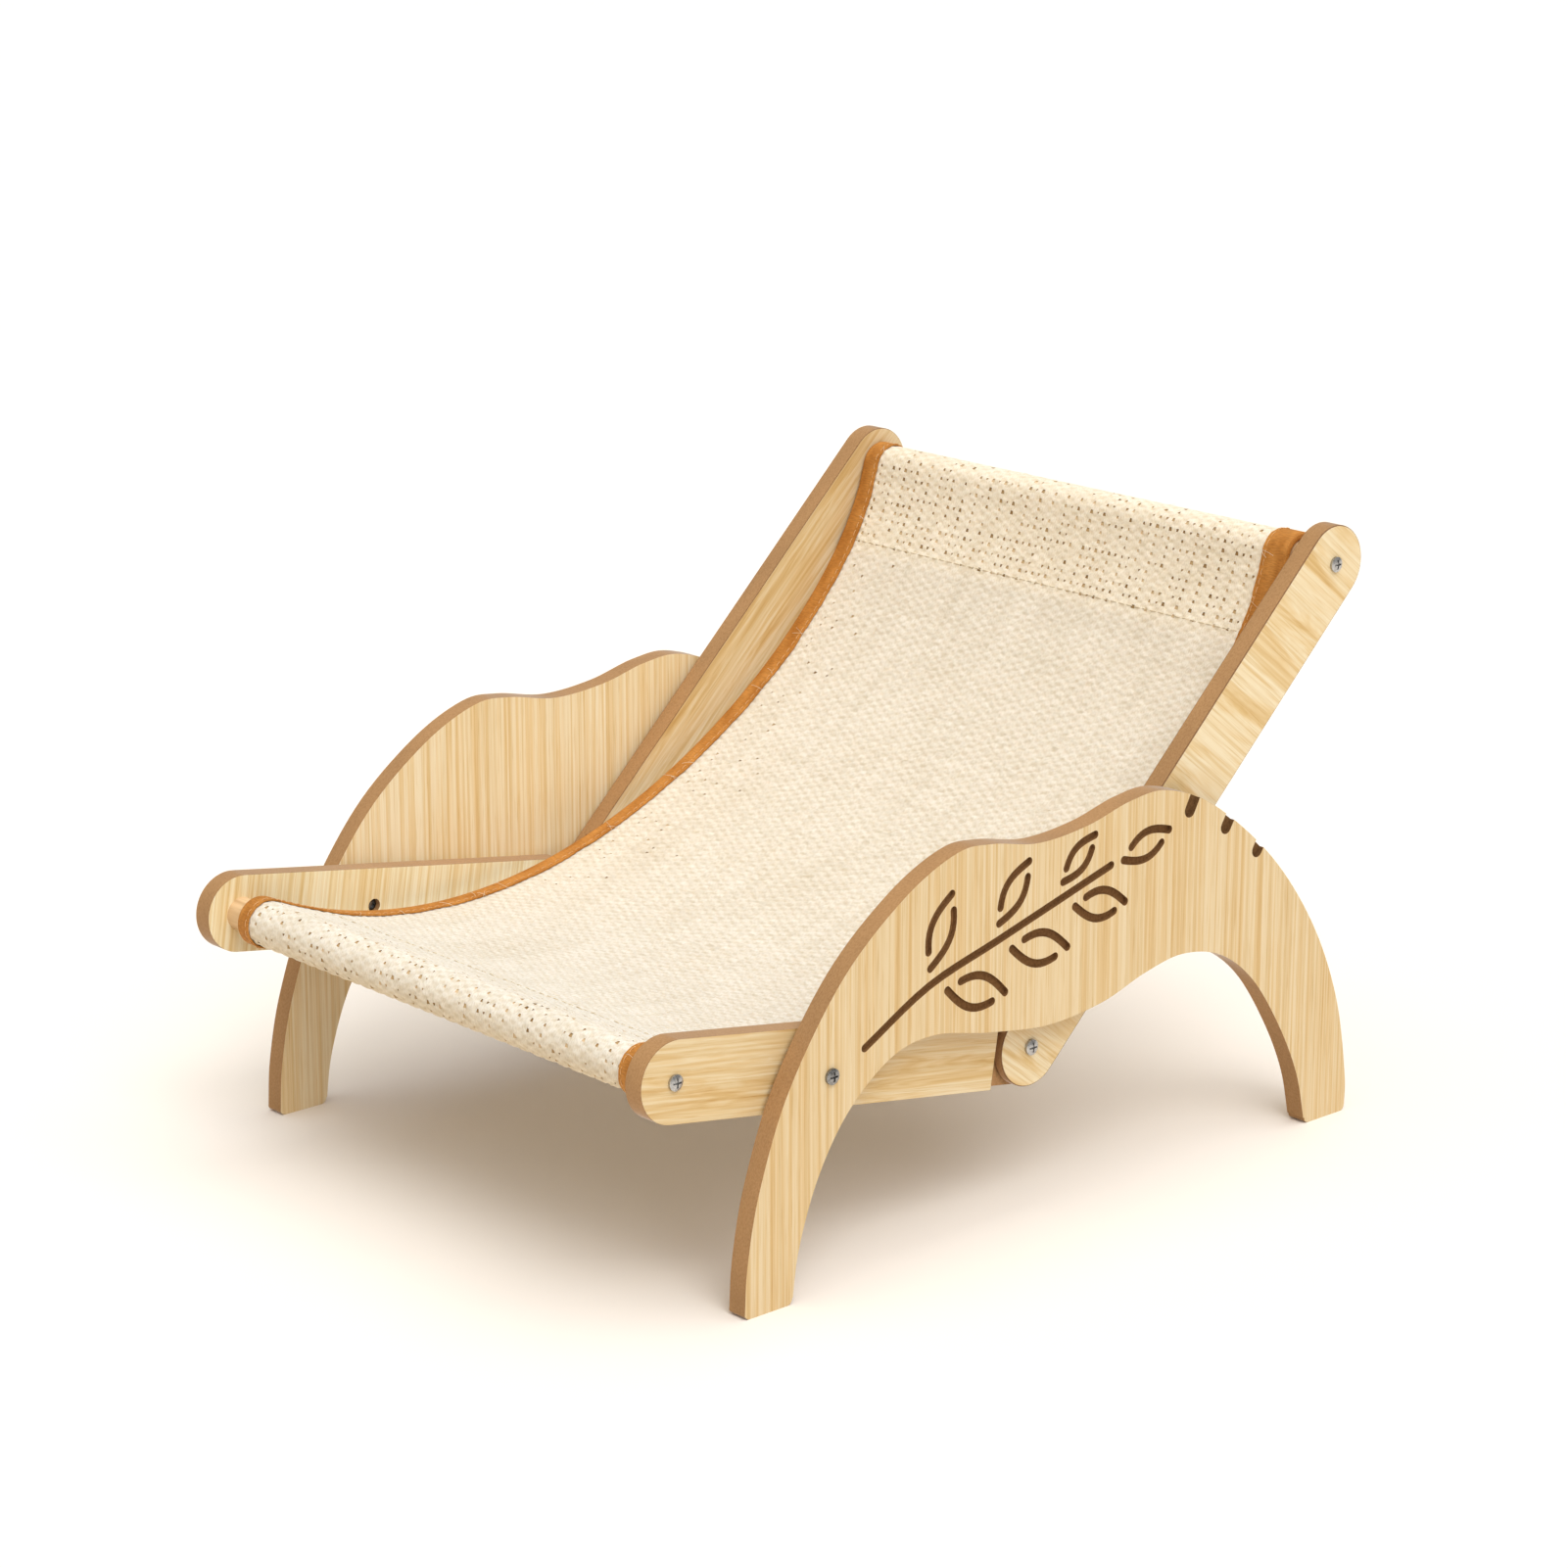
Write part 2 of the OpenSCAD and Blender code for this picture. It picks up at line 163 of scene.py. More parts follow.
def coordinates(tree, kind):
    """Where a point lies: its place in the object, or on the flat map of the cloth."""
    return tree.nodes.new("ShaderNodeTexCoord").outputs[kind]


def stretched_noise(tree, vector, scale, detail, distortion=0.0, shift=(0, 0, 0), roughness=0.5):
    """Noise whose grains are 1 / scale metres long on each axis."""
    mapping = tree.nodes.new("ShaderNodeMapping")
    mapping.inputs["Scale"].default_value = scale
    mapping.inputs["Location"].default_value = shift
    noise = tree.nodes.new("ShaderNodeTexNoise")
    noise.inputs["Scale"].default_value = 1.0
    noise.inputs["Detail"].default_value = detail
    noise.inputs["Roughness"].default_value = roughness
    noise.inputs["Distortion"].default_value = distortion
    tree.links.new(vector, mapping.inputs["Vector"])
    tree.links.new(mapping.outputs["Vector"], noise.inputs["Vector"])
    return noise.outputs["Fac"]


# %% Helpers for colours and relief
def ramp(tree, value, stops):
    """Turns a value from 0 to 1 into colours that change at the given stops."""
    node = tree.nodes.new("ShaderNodeValToRGB")
    elements = node.color_ramp.elements
    while len(elements) < len(stops):
        elements.new(position=0.5)
    for element, (position, colour) in zip(elements, stops):
        element.position = position
        element.color = (*colour, 1)
    tree.links.new(value, node.inputs["Fac"])
    return node.outputs["Color"]


def multiplied(tree, colour, by, factor=1.0):
    """One colour darkened by another."""
    mix = tree.nodes.new("ShaderNodeMix")
    mix.data_type = "RGBA"
    mix.blend_type = "MULTIPLY"
    mix.inputs["Factor"].default_value = factor
    tree.links.new(colour, mix.inputs["A"])
    tree.links.new(by, mix.inputs["B"])
    return mix.outputs["Result"]


def bumped(tree, shader, height, strength, distance):
    """Gives the shader a fine relief from a height pattern."""
    bump = tree.nodes.new("ShaderNodeBump")
    bump.inputs["Strength"].default_value = strength
    bump.inputs["Distance"].default_value = distance
    tree.links.new(height, bump.inputs["Height"])
    tree.links.new(bump.outputs["Normal"], shader.inputs["Normal"])


def grey(level):
    """An even grey, or white at 1."""
    return (level, level, level)


# %% [markdown]
# ## Finish of the boards
# The boards are fibreboard with a pale wood-grain foil on both faces and brown sawn edges. An image of wood
# would repeat and stretch, so the grain is drawn by noise that is stretched along the grain: broad bands,
# fine streaks and short pores. Each board turns the pattern its own way, as the pieces were cut from a
# sheet in different directions.

# %% Colours and scales of the grain
PALE_GRAIN = (0.747, 0.609, 0.390)
MIDDLE_GRAIN = (0.700, 0.520, 0.278)
WARM_GRAIN = (0.615, 0.412, 0.172)
LINE_TINT = (0.89, 0.82, 0.69)
BAND_TINT = (0.96, 0.90, 0.80)
HALF_BAND_TINT = (0.97, 0.945, 0.90)
# Changes of the pattern in a metre: through the board, along its grain and across it
THROUGH = 18
BAND_SCALE = (THROUGH, 1.5, 42)
STREAK_SCALE = (THROUGH, 5, 600)
PORE_SCALE = (THROUGH, 38, 1700)


def mixed(first, second, share):
    """A colour between two others."""
    return tuple(a + (b - a) * share for a, b in zip(first, second))


def toned(colour, tone):
    """A colour with each of its three parts made stronger or weaker."""
    return tuple(a * b for a, b in zip(colour, tone))


# %% Foil with a wood grain
def grain_foil(name, turn, shift, spread, reach, wander, depth, tone):
    """
    Foil whose grain lies at an angle to the Y axis, in degrees, in the plane of the board. Spread and reach
    are the size of its figure across and along the grain, wander bends the figure, and depth darkens it.
    """
    material, tree, shader = start_material(name, roughness=0.5, specular=0.3)
    place = coordinates(tree, "Object")
    turned = tree.nodes.new("ShaderNodeMapping")
    turned.inputs["Rotation"].default_value = (-math.radians(turn), 0, 0)
    tree.links.new(place, turned.inputs["Vector"])
    along = turned.outputs["Vector"]
    figure = stretched_noise(
        tree, along, (THROUGH, 1 / reach, 1 / spread), detail=4.0, distortion=wander,
        shift=(shift, shift, shift), roughness=0.62,
    )
    bands = stretched_noise(tree, along, BAND_SCALE, detail=3.0, distortion=0.3, shift=(shift, 0, shift))
    streaks = stretched_noise(tree, along, STREAK_SCALE, detail=3.0, distortion=0.1, shift=(shift, 0, shift))
    pores = stretched_noise(tree, along, PORE_SCALE, detail=2.0, shift=(0, shift, shift))
    colour = ramp(tree, figure, [
        (0.33, toned(mixed(MIDDLE_GRAIN, WARM_GRAIN, depth), tone)),
        (0.44, toned(MIDDLE_GRAIN, tone)),
        (0.54, toned(PALE_GRAIN, tone)),
        (0.68, toned(mixed(PALE_GRAIN, MIDDLE_GRAIN, depth), tone)),
    ])
    colour = multiplied(tree, colour, ramp(tree, bands, [
        (0.32, BAND_TINT), (0.50, HALF_BAND_TINT), (0.68, grey(1.0)),
    ]))
    colour = multiplied(tree, colour, ramp(tree, streaks, [(0.36, LINE_TINT), (0.56, grey(1.0))]))
    colour = multiplied(tree, colour, ramp(tree, pores, [(0.30, LINE_TINT), (0.42, grey(1.0))]))
    tree.links.new(colour, shader.inputs["Base Color"])
    bumped(tree, shader, streaks, strength=0.10, distance=0.4 * MM)
    return material


# %% Sawn edge and engraved groove
FUZZ_ROUGHNESS = 0.25
SPECKLE_SCALE = (1400, 900, 900)
CLOUD_SCALE = (60, 25, 25)


def fibreboard(name, light, dark, roughness, fuzz=0.0):
    """Bare fibreboard: a fine speckle of fibres over slow clouds of tone. Its fuzz shines at a low angle."""
    material, tree, shader = start_material(name, roughness, specular=0.2)
    shader.inputs["Sheen Weight"].default_value = fuzz
    shader.inputs["Sheen Roughness"].default_value = FUZZ_ROUGHNESS
    place = coordinates(tree, "Object")
    speckle = stretched_noise(tree, place, SPECKLE_SCALE, detail=3.0)
    clouds = stretched_noise(tree, place, CLOUD_SCALE, detail=2.0)
    colour = ramp(tree, speckle, [(0.28, dark), (0.62, light)])
    colour = multiplied(tree, colour, ramp(tree, clouds, [(0.3, grey(0.88)), (0.7, grey(1.0))]))
    tree.links.new(colour, shader.inputs["Base Color"])
    bumped(tree, shader, speckle, strength=0.25, distance=0.3 * MM)
    return material


sawn_edge = fibreboard(
    "sawn_edge", light=(0.445, 0.250, 0.108), dark=(0.355, 0.189, 0.077), roughness=0.8, fuzz=1.0
)
# Painted shadow line: the rounded strips beside the foil get this darker brown.
painted_shadow_rim = fibreboard(
    "painted_shadow_rim", light=(0.270, 0.145, 0.068), dark=(0.200, 0.100, 0.044), roughness=0.7
)
groove_brown = fibreboard(
    "groove_brown", light=(0.250, 0.122, 0.044), dark=(0.170, 0.078, 0.026), roughness=0.9
)
notch_brown = fibreboard(
    "notch_brown", light=(0.160, 0.078, 0.027), dark=(0.105, 0.048, 0.015), roughness=0.9
)
print("board finishes:", sawn_edge.name, painted_shadow_rim.name, groove_brown.name, notch_brown.name)

# %% [markdown]
# ## Boards
# The imported model already has the six boards at their exact shape, with perfectly sharp corners. A sawn and
# sanded board has a small round on every edge, which catches a thin line of light. The boards could be drawn
# again from their outlines, but a copy can't differ from the model. So each board is copied, merged into one
# skin and bevelled by a modifier. Its faces are then sorted by the way they look: foil on the two broad
# faces, brown on everything that the saw or the router cut, and a darker brown on the rounded strips beside
# the foil, which is a painted shadow line. Weighted normals keep the broad faces flat, so that the light
# doesn't bend at the rounded edge.

# %% Helpers for pieces
def only(piece):
    """Makes one object the only selected and active one."""
    bpy.ops.object.select_all(action="DESELECT")
    piece.select_set(True)
    bpy.context.view_layer.objects.active = piece


def applied(piece, kind, **settings):
    """Adds a modifier with its settings and applies it."""
    only(piece)
    modifier = piece.modifiers.new(kind.lower(), kind)
    for key, value in settings.items():
        setattr(modifier, key, value)
    bpy.ops.object.modifier_apply(modifier=modifier.name)


SAME_POINT = 0.005 * MM
SAME_PLANE = math.radians(0.4)


def merged_copy(node, name):
    """A new object with its own copy of a node's mesh, merged and cleaned of inner edges."""
    piece = bpy.data.objects.new(name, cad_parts[node].data.copy())
    bpy.context.scene.collection.objects.link(piece)
    piece.data.materials.clear()
    only(piece)
    bpy.ops.mesh.customdata_custom_splitnormals_clear()
    bpy.ops.object.mode_set(mode="EDIT")
    bpy.ops.mesh.select_all(action="SELECT")
    bpy.ops.mesh.remove_doubles(threshold=SAME_POINT)
    bpy.ops.mesh.dissolve_limited(angle_limit=SAME_PLANE)
    bpy.ops.object.mode_set(mode="OBJECT")
    return piece


# %% Find the notches of a side panel
NOTCH_HALF = 4.1 * MM
NOTCH_REACH = 16 * MM
# From the rod's notch to each notch, back and up in millimetres, and how far it leans, in degrees
NOTCH_STEPS = [(-24.96, 12.90, 28), (0, 0, 32), (22.15, -15.74, 32)]


def in_notch(place):
    """Whether a place lies in one of the three notches, which lean back from the rod's three places."""
    rod = sum(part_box("support_rod"), Vector()) / 2
    for y, z, lean in NOTCH_STEPS:
        lean = math.radians(lean)
        dy, dz = place.y - rod.y - y * MM, place.z - rod.z - z * MM
        up = dy * math.sin(lean) + dz * math.cos(lean)
        aside = dy * math.cos(lean) - dz * math.sin(lean)
        if abs(aside) < NOTCH_HALF and -NOTCH_HALF < up < NOTCH_REACH:
            return True
    return False


# %% Sort the faces of a board
BEVEL_WIDTH = 0.45 * MM
ON_FACE = BEVEL_WIDTH / 4
EDGE_BAND = 2 * BEVEL_WIDTH
# How squarely a face looks to the side, from 0 to 1
FLAT_ENOUGH = 0.98
STRAIGHT_ENOUGH = 0.25
# The third finish, on the rounded strips beside the foil, is a painted shadow line.
FOIL, EDGE, RIM_SHADOW, GROOVE, NOTCH = 0, 1, 2, 3, 4


def finish_of(face, points, near, far, notched):
    """Which finish a board's face wears, from its direction and its place across the board."""
    depths = [abs(points[i].co.x) for i in face.vertices]
    flat = abs(face.normal.x) > FLAT_ENOUGH
    if flat and min(abs(depths[0] - near), abs(depths[0] - far)) < ON_FACE:
        return FOIL
    if not flat and abs(face.normal.x) > STRAIGHT_ENOUGH:
        return RIM_SHADOW
    if notched and in_notch(face.center):
        return NOTCH
    return EDGE if not flat and min(depths) < near + EDGE_BAND else GROOVE


# %% Make one board
BEVEL_STEPS = 2
BEVEL_FROM = math.radians(35)
SMOOTH_TO = math.radians(30)
FACE_WEIGHT = 100


def make_board(node, body, foil, routed):
    """One board, bevelled, with foil on its faces. routed is the finish of what is cut into its faces."""
    piece = merged_copy(node, "board_" + node)
    applied(piece, "BEVEL", width=BEVEL_WIDTH, segments=BEVEL_STEPS, limit_method="ANGLE",
            angle_limit=BEVEL_FROM, harden_normals=False)
    for finish in (foil, sawn_edge, painted_shadow_rim, routed, notch_brown):
        piece.data.materials.append(finish)
    low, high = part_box(node)
    near, far = sorted((abs(low.x), abs(high.x)))
    for face in piece.data.polygons:
        face.material_index = finish_of(face, piece.data.vertices, near, far, body == "stand")
    bpy.ops.object.shade_smooth_by_angle(angle=SMOOTH_TO)
    applied(piece, "WEIGHTED_NORMAL", keep_sharp=True, weight=FACE_WEIGHT)
    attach(piece, body)
    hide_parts(node)
    return piece


# %% Make all the boards
# Directions of the grain, in degrees from level
UPRIGHT = 90
SEAT_SLOPE = -9.2
BACK_SLOPE = 44.2
FLAME_SLOPE = -38.5
# Tones of the foil, which its colours are multiplied by. The two far-side boards get the paler tones, partly
# a real difference between boards and partly painted light that makes up for the shade of the sling and the
# near side.
PLAIN = (0.97, 0.97, 0.98)
LIVELY = (1.01, 1.03, 1.06)
# These two paler tones are partly painted light, for the far-side boards that stand in shade.
PALE_AND_PAINTED_LIGHT = (1.17, 1.25, 1.43)
FAIR = (1.09, 1.16, 1.28)
PALEST_AND_PAINTED_LIGHT = (1.22, 1.37, 1.57)
# Figures of the grain
FINE_GRAIN = {"spread": 2.4 * MM, "reach": 0.30, "wander": 0.2, "depth": 0.25}
WAVY_GRAIN = {"spread": 6 * MM, "reach": 0.09, "wander": 0.8, "depth": 1.0}
FLAME_GRAIN = {"spread": 14 * MM, "reach": 0.09, "wander": 0.8, "depth": 1.0}
BOARDS = [
    ("side_panel_right", "stand", UPRIGHT, FINE_GRAIN, PLAIN, groove_brown),
    ("side_panel_left", "stand", UPRIGHT, FINE_GRAIN, PALE_AND_PAINTED_LIGHT, groove_brown),
    ("seat_rail_right", "seat_frame", SEAT_SLOPE, WAVY_GRAIN, LIVELY, sawn_edge),
    ("seat_rail_left", "seat_frame", SEAT_SLOPE + UPRIGHT, FINE_GRAIN, PALEST_AND_PAINTED_LIGHT, sawn_edge),
    ("back_rail_right", "backrest", FLAME_SLOPE, FLAME_GRAIN, FAIR, sawn_edge),
    ("back_rail_left", "backrest", BACK_SLOPE, WAVY_GRAIN, LIVELY, sawn_edge),
]
GRAIN_SHIFT = 3.7
for count, (node, body, turn, grain, tone, routed) in enumerate(BOARDS):
    foil = grain_foil("foil_" + node, turn, count * GRAIN_SHIFT, tone=tone, **grain)
    board = make_board(node, body, foil, routed)
    print(board.name, len(board.data.polygons), "faces")

# %% [markdown]
# ## Dowels, rod and fasteners
# These could be modelled again, but a dowel or a screw is already right in the imported model, with its
# crowned head and cross recess, so they keep those shapes. They only need their finishes: plain turned wood,
# milky nylon, and zinc that is bright on the screws and worn on the pivot bolts. The inserts get a near-black
# zinc, which is painted shade for the dark hole that they sit in.

# %% Turned wood
RING_SCALE = (7, 260, 260)
DOWEL_PORE_SCALE = (60, 1500, 1500)


def turned_wood(name, pale, deep):
    """Wood with its grain along X, as a dowel is turned."""
    material, tree, shader = start_material(name, roughness=0.6, specular=0.25)
    place = coordinates(tree, "Object")
    rings = stretched_noise(tree, place, RING_SCALE, detail=3.0, distortion=0.4)
    pores = stretched_noise(tree, place, DOWEL_PORE_SCALE, detail=2.0)
    colour = ramp(tree, rings, [(0.34, deep), (0.6, pale)])
    colour = multiplied(tree, colour, ramp(tree, pores, [(0.3, grey(0.75)), (0.42, grey(1.0))]), factor=0.6)
    tree.links.new(colour, shader.inputs["Base Color"])
    bumped(tree, shader, rings, strength=0.15, distance=0.4 * MM)
    return material


# %% Zinc and nylon
MOTTLE_SCALE = (900, 900, 900)
MILK_SCALE = (300, 300, 300)


def zinc(name, dull, bright):
    """Zinc plate: metal with a faint mottle in its gloss."""
    material, tree, shader = start_material(name, roughness=0.3, specular=0.5)
    shader.inputs["Metallic"].default_value = 1.0
    place = coordinates(tree, "Object")
    mottle = stretched_noise(tree, place, MOTTLE_SCALE, detail=3.0)
    colour = ramp(tree, mottle, [(0.3, grey(dull)), (0.7, grey(bright))])
    gloss = ramp(tree, mottle, [(0.3, grey(0.22)), (0.7, grey(0.36))])
    tree.links.new(colour, shader.inputs["Base Color"])
    tree.links.new(gloss, shader.inputs["Roughness"])
    return material


def nylon(name):
    """Natural nylon: a milky plastic with a slight unevenness."""
    material, tree, shader = start_material(name, roughness=0.45, specular=0.4)
    place = coordinates(tree, "Object")
    milk = stretched_noise(tree, place, MILK_SCALE, detail=2.0)
    colour = ramp(tree, milk, [(0.3, (0.72, 0.70, 0.64)), (0.7, (0.82, 0.80, 0.75))])
    tree.links.new(colour, shader.inputs["Base Color"])
    return material


# %% Give the kept nodes their finishes
KEPT_NODES = {
    turned_wood("dowel_wood", pale=(0.72, 0.50, 0.28), deep=(0.56, 0.36, 0.18)): [
        "front_dowel", "top_dowel", "support_rod",
    ],
    zinc("zinc_plate", dull=0.36, bright=0.56): [
        "front_dowel_screws", "top_dowel_screws", "hinge_bolts", "hinge_nuts",
    ],
    zinc("worn_zinc", dull=0.20, bright=0.36): ["pivot_bolts"],
    # Near-black zinc on the inserts is painted shade for the dark hole they sit in.
    zinc("painted_shade_zinc", dull=0.05, bright=0.12): ["pivot_inserts"],
    nylon("nylon"): ["pivot_washers", "hinge_washers"],
}
for finish, nodes in KEPT_NODES.items():
    for node in nodes:
        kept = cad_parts[node]
        kept.data.materials.clear()
        kept.data.materials.append(finish)
    print(finish.name, "on", ", ".join(nodes))

# %% [markdown]
# ## The sling's path
# Seen from the side, the cloth starts in a hem under the sheet, wraps round the front dowel, hangs in one
# smooth curve to the top dowel, wraps round that and ends in a hem behind the sheet. A cloth simulation could
# find this hang, but here the path is worked out as points, because everything that is sewn to the sling
# follows it: the weave, the bindings, the seams and the stray fibres.

# %% Places on the dowels
def middle(node):
    """The middle of a node's box."""
    low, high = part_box(node)
    return (low + high) / 2


def side_view(point):
    """A point's place in the side view, back and up."""
    return np.array([point.y, point.z])


DOWEL_RADIUS = (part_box("front_dowel")[1].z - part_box("front_dowel")[0].z) / 2
SLING_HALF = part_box("sling")[1].x
FRONT_AT = side_view(middle("front_dowel"))
TOP_AT = side_view(middle("top_dowel"))
CLOTH_HALF = 1.1 * MM
TAPE_THICK = 0.8 * MM
SLEEVE_SLACK = 0.4 * MM
WRAP_RADIUS = DOWEL_RADIUS + SLEEVE_SLACK + TAPE_THICK + CLOTH_HALF
# How steeply the sheet leaves the front dowel and reaches the top one, and how far each end keeps its
# direction, as a share of the way between the dowels
LEAVE_ANGLE = math.radians(26.0)
REACH_ANGLE = math.radians(77.4)
LEAVE_PULL = 0.44
REACH_PULL = 0.20
print("dowel radius", round(DOWEL_RADIUS / MM, 2), "mm; sling half width", round(SLING_HALF / MM, 1), "mm")

# %% Points along the sheet
def turned_by(angle):
    """A step of length 1 in a direction of the side view."""
    return np.array([math.cos(angle), math.sin(angle)])


def on_wrap(centre, angle):
    """A point of the cloth's middle line where it wraps a dowel."""
    return centre + WRAP_RADIUS * turned_by(angle)


CHORD = np.linalg.norm(TOP_AT - FRONT_AT)
SHEET_START = on_wrap(FRONT_AT, math.pi / 2 - LEAVE_ANGLE)
SHEET_END = on_wrap(TOP_AT, math.pi / 2 + REACH_ANGLE)
SHEET_PULLS = np.array([
    SHEET_START,
    SHEET_START + LEAVE_PULL * CHORD * turned_by(-LEAVE_ANGLE),
    SHEET_END - REACH_PULL * CHORD * turned_by(REACH_ANGLE),
    SHEET_END,
])


def sheet_at(shares):
    """Points on the hanging sheet, from 0 at the front dowel to 1 at the top one."""
    done = np.asarray(shares)[:, None]
    left = 1 - done
    weights = (left ** 3, 3 * left ** 2 * done, 3 * left * done ** 2, done ** 3)
    return sum(weight * pull for weight, pull in zip(weights, SHEET_PULLS))


def normals_of(path):
    """Unit normals on the upper side of a path that runs from front to back."""
    along = np.gradient(path, axis=0)
    along /= np.linalg.norm(along, axis=1)[:, None]
    return np.stack([-along[:, 1], along[:, 0]], axis=1)


print("from dowel to dowel", round(float(CHORD) / MM, 1), "mm")

# %% The whole path, from hem to hem
LAYER_PITCH = 3.6 * MM
# Between which shares of the sheet's length each hem lies
FRONT_HEM = (0.045, 0.070)
TOP_HEM = (0.905, 0.853)
FRONT_WRAP_END = math.radians(282)
TOP_WRAP_END = math.radians(-52.5)
HEM_POINTS = 60
WRAP_POINTS = 200
SHEET_POINTS = 1500


def hem_points(shares):
    """A hem, which lies under the sheet between two shares of its length."""
    points = sheet_at(np.sort(np.linspace(*shares, HEM_POINTS)))
    points = points - LAYER_PITCH * normals_of(points)
    return points if shares[0] < shares[1] else points[::-1]


def wrap_points(centre, start, end):
    """The cloth's way round a dowel."""
    return np.array([on_wrap(centre, angle) for angle in np.linspace(start, end, WRAP_POINTS)])


# %% Even steps and rounded corners
def column_wise(change, points):
    """The same change made to the two columns of a path, back and up."""
    return np.stack([change(points[:, axis]) for axis in (0, 1)], axis=1)


def run_along(points):
    """How far along a path each of its points lies."""
    return np.concatenate([[0], np.cumsum(np.linalg.norm(np.diff(points, axis=0), axis=1))])


def respaced(points, step):
    """The same path with points at an even step."""
    run = run_along(points)
    marks = np.linspace(0, run[-1], max(2, round(run[-1] / step) + 1))
    return column_wise(lambda values: np.interp(marks, run, values), points)


def eased(points, step, reach):
    """The path with its corners rounded over a short reach."""
    width = max(1, round(reach / step)) | 1
    padded = np.pad(points, ((width // 2, width // 2), (0, 0)), mode="reflect", reflect_type="odd")
    kernel = np.ones(width) / width
    return column_wise(lambda values: np.convolve(values, kernel, mode="valid"), padded)


# %% Join the path
FINE_STEP = 0.1 * MM
EASE_REACH = 5 * MM
raw_path = np.concatenate([
    hem_points(FRONT_HEM)[::-1],
    wrap_points(FRONT_AT, FRONT_WRAP_END, math.pi / 2 - LEAVE_ANGLE),
    sheet_at(np.linspace(0, 1, SHEET_POINTS)),
    wrap_points(TOP_AT, math.pi / 2 + REACH_ANGLE, TOP_WRAP_END),
    hem_points(TOP_HEM),
])
fine_path = eased(respaced(raw_path, FINE_STEP), FINE_STEP, EASE_REACH)
fine_run = run_along(fine_path)
PATH_LENGTH = float(fine_run[-1])


def run_near(point):
    """The length of path up to the place nearest to a point."""
    return float(fine_run[np.linalg.norm(fine_path - point, axis=1).argmin()])


SHEET_FROM = run_near(SHEET_START)
SHEET_TO = run_near(SHEET_END)
print("sling path", round(PATH_LENGTH / MM, 1), "mm; sheet", round((SHEET_TO - SHEET_FROM) / MM, 1), "mm")

# %% [markdown]
# The cloth isn't fixed along the dowels, so in use it creeps a little to one side at the front and to the
# other at the top. A drift of a few millimetres along the path keeps this small, lifelike skew.

# %% Drift of the cloth along the dowels
FRONT_DRIFT = 6.3 * MM
TOP_DRIFT = -4.9 * MM
TOP_SPREAD = 1.5 * MM


def drift(run, across):
    """How far a place on the cloth has crept. The top sleeve is also pulled a little wider."""
    share = np.interp(run, [SHEET_FROM, SHEET_TO], [0, 1])
    return FRONT_DRIFT + (TOP_DRIFT - FRONT_DRIFT + TOP_SPREAD * across / SLING_HALF) * share


fine_normals = normals_of(fine_path)


def cloth_point(run, across, height):
    """A point over the cloth: how far along it, how far from its middle line, how high off it."""
    y, z = (
        np.interp(run, fine_run, places) + height * np.interp(run, fine_run, normals)
        for places, normals in zip(fine_path.T, fine_normals.T)
    )
    return Vector((across + float(drift(run, across)), float(y), float(z)))


print("drift", FRONT_DRIFT / MM, "to", TOP_DRIFT / MM, "mm")

# %% [markdown]
# ## The woven sling
# The cloth is a plain weave of stiff sisal yarn. Thousands of separate yarns would be too heavy, and a flat
# sheet with a picture of a weave would look printed. So the sheet is a grid with one row for every yarn
# across and two columns for every yarn along, and its points rise and fall by turns as the yarns pass
# over and under each other. Round the dowels the bent cloth opens a little, and small gaps show between
# the yarns. A few slim ones follow the sheet's far edge, on the left, too. Each gap is a pit: one face of the
# grid between the yarns, inset and pushed in. Its brown is painted shade, standing in for the dim inside
# that a real hole would show.

# %% The sling's grid
WARP_PITCH = 4.35 * MM
WEFT_PITCH = 2.3 * MM
WEAVE_RISE = 0.20 * MM
COLUMNS_PER_WARP = 2
WARPS = round(2 * SLING_HALF / WARP_PITCH)
COLUMNS = WARPS * COLUMNS_PER_WARP
sling_path = respaced(fine_path, WEFT_PITCH)
sling_normals = normals_of(sling_path)
ROWS = len(sling_path)

bpy.ops.object.select_all(action="DESELECT")
bpy.ops.mesh.primitive_grid_add(x_subdivisions=COLUMNS - 1, y_subdivisions=ROWS - 1, size=1)
sling = bpy.context.object
sling.name = "sling_sheet"
print("warps", WARPS, "wefts", ROWS, "grid points", len(sling.data.vertices))

# %% Find each point's column and row
def grid_places(piece, columns, rows):
    """The column and the row of every point of a flat grid that is 1 metre wide and long."""
    points = np.zeros(len(piece.data.vertices) * 3)
    piece.data.vertices.foreach_get("co", points)
    shares = points.reshape(-1, 3)[:, :2] + 0.5
    return (np.rint(shares[:, axis] * (count - 1)).astype(int) for axis, count in enumerate((columns, rows)))


def corner_points(piece):
    """The point at every corner of every face."""
    corners = np.zeros(len(piece.data.loops), dtype=int)
    piece.data.loops.foreach_get("vertex_index", corners)
    return corners


column, row = grid_places(sling, COLUMNS, ROWS)
print("columns", column.max() + 1, "rows", row.max() + 1)

# %% Lay the grid along the path
WEAVE_SEED = 7
WEFT_UNEVEN = 0.05 * MM
WARP_UNEVEN = 0.04 * MM
WARP_ASIDE = 0.10 * MM
wander = np.random.default_rng(WEAVE_SEED)
over = np.where((column // COLUMNS_PER_WARP + row) % 2 == 0, 1.0, -1.0)
rise = over * WEAVE_RISE
rise += wander.normal(0, WEFT_UNEVEN, ROWS)[row] + wander.normal(0, WARP_UNEVEN, COLUMNS)[column]
across = (column / (COLUMNS - 1) * 2 - 1) * SLING_HALF
inside = (column > 0) & (column < COLUMNS - 1)
across = across + np.where(inside, wander.normal(0, WARP_ASIDE, COLUMNS)[column], 0)
side = sling_path[row] + rise[:, None] * sling_normals[row]
laid = np.stack([across + drift(row * WEFT_PITCH, across), side[:, 0], side[:, 1]], axis=1)
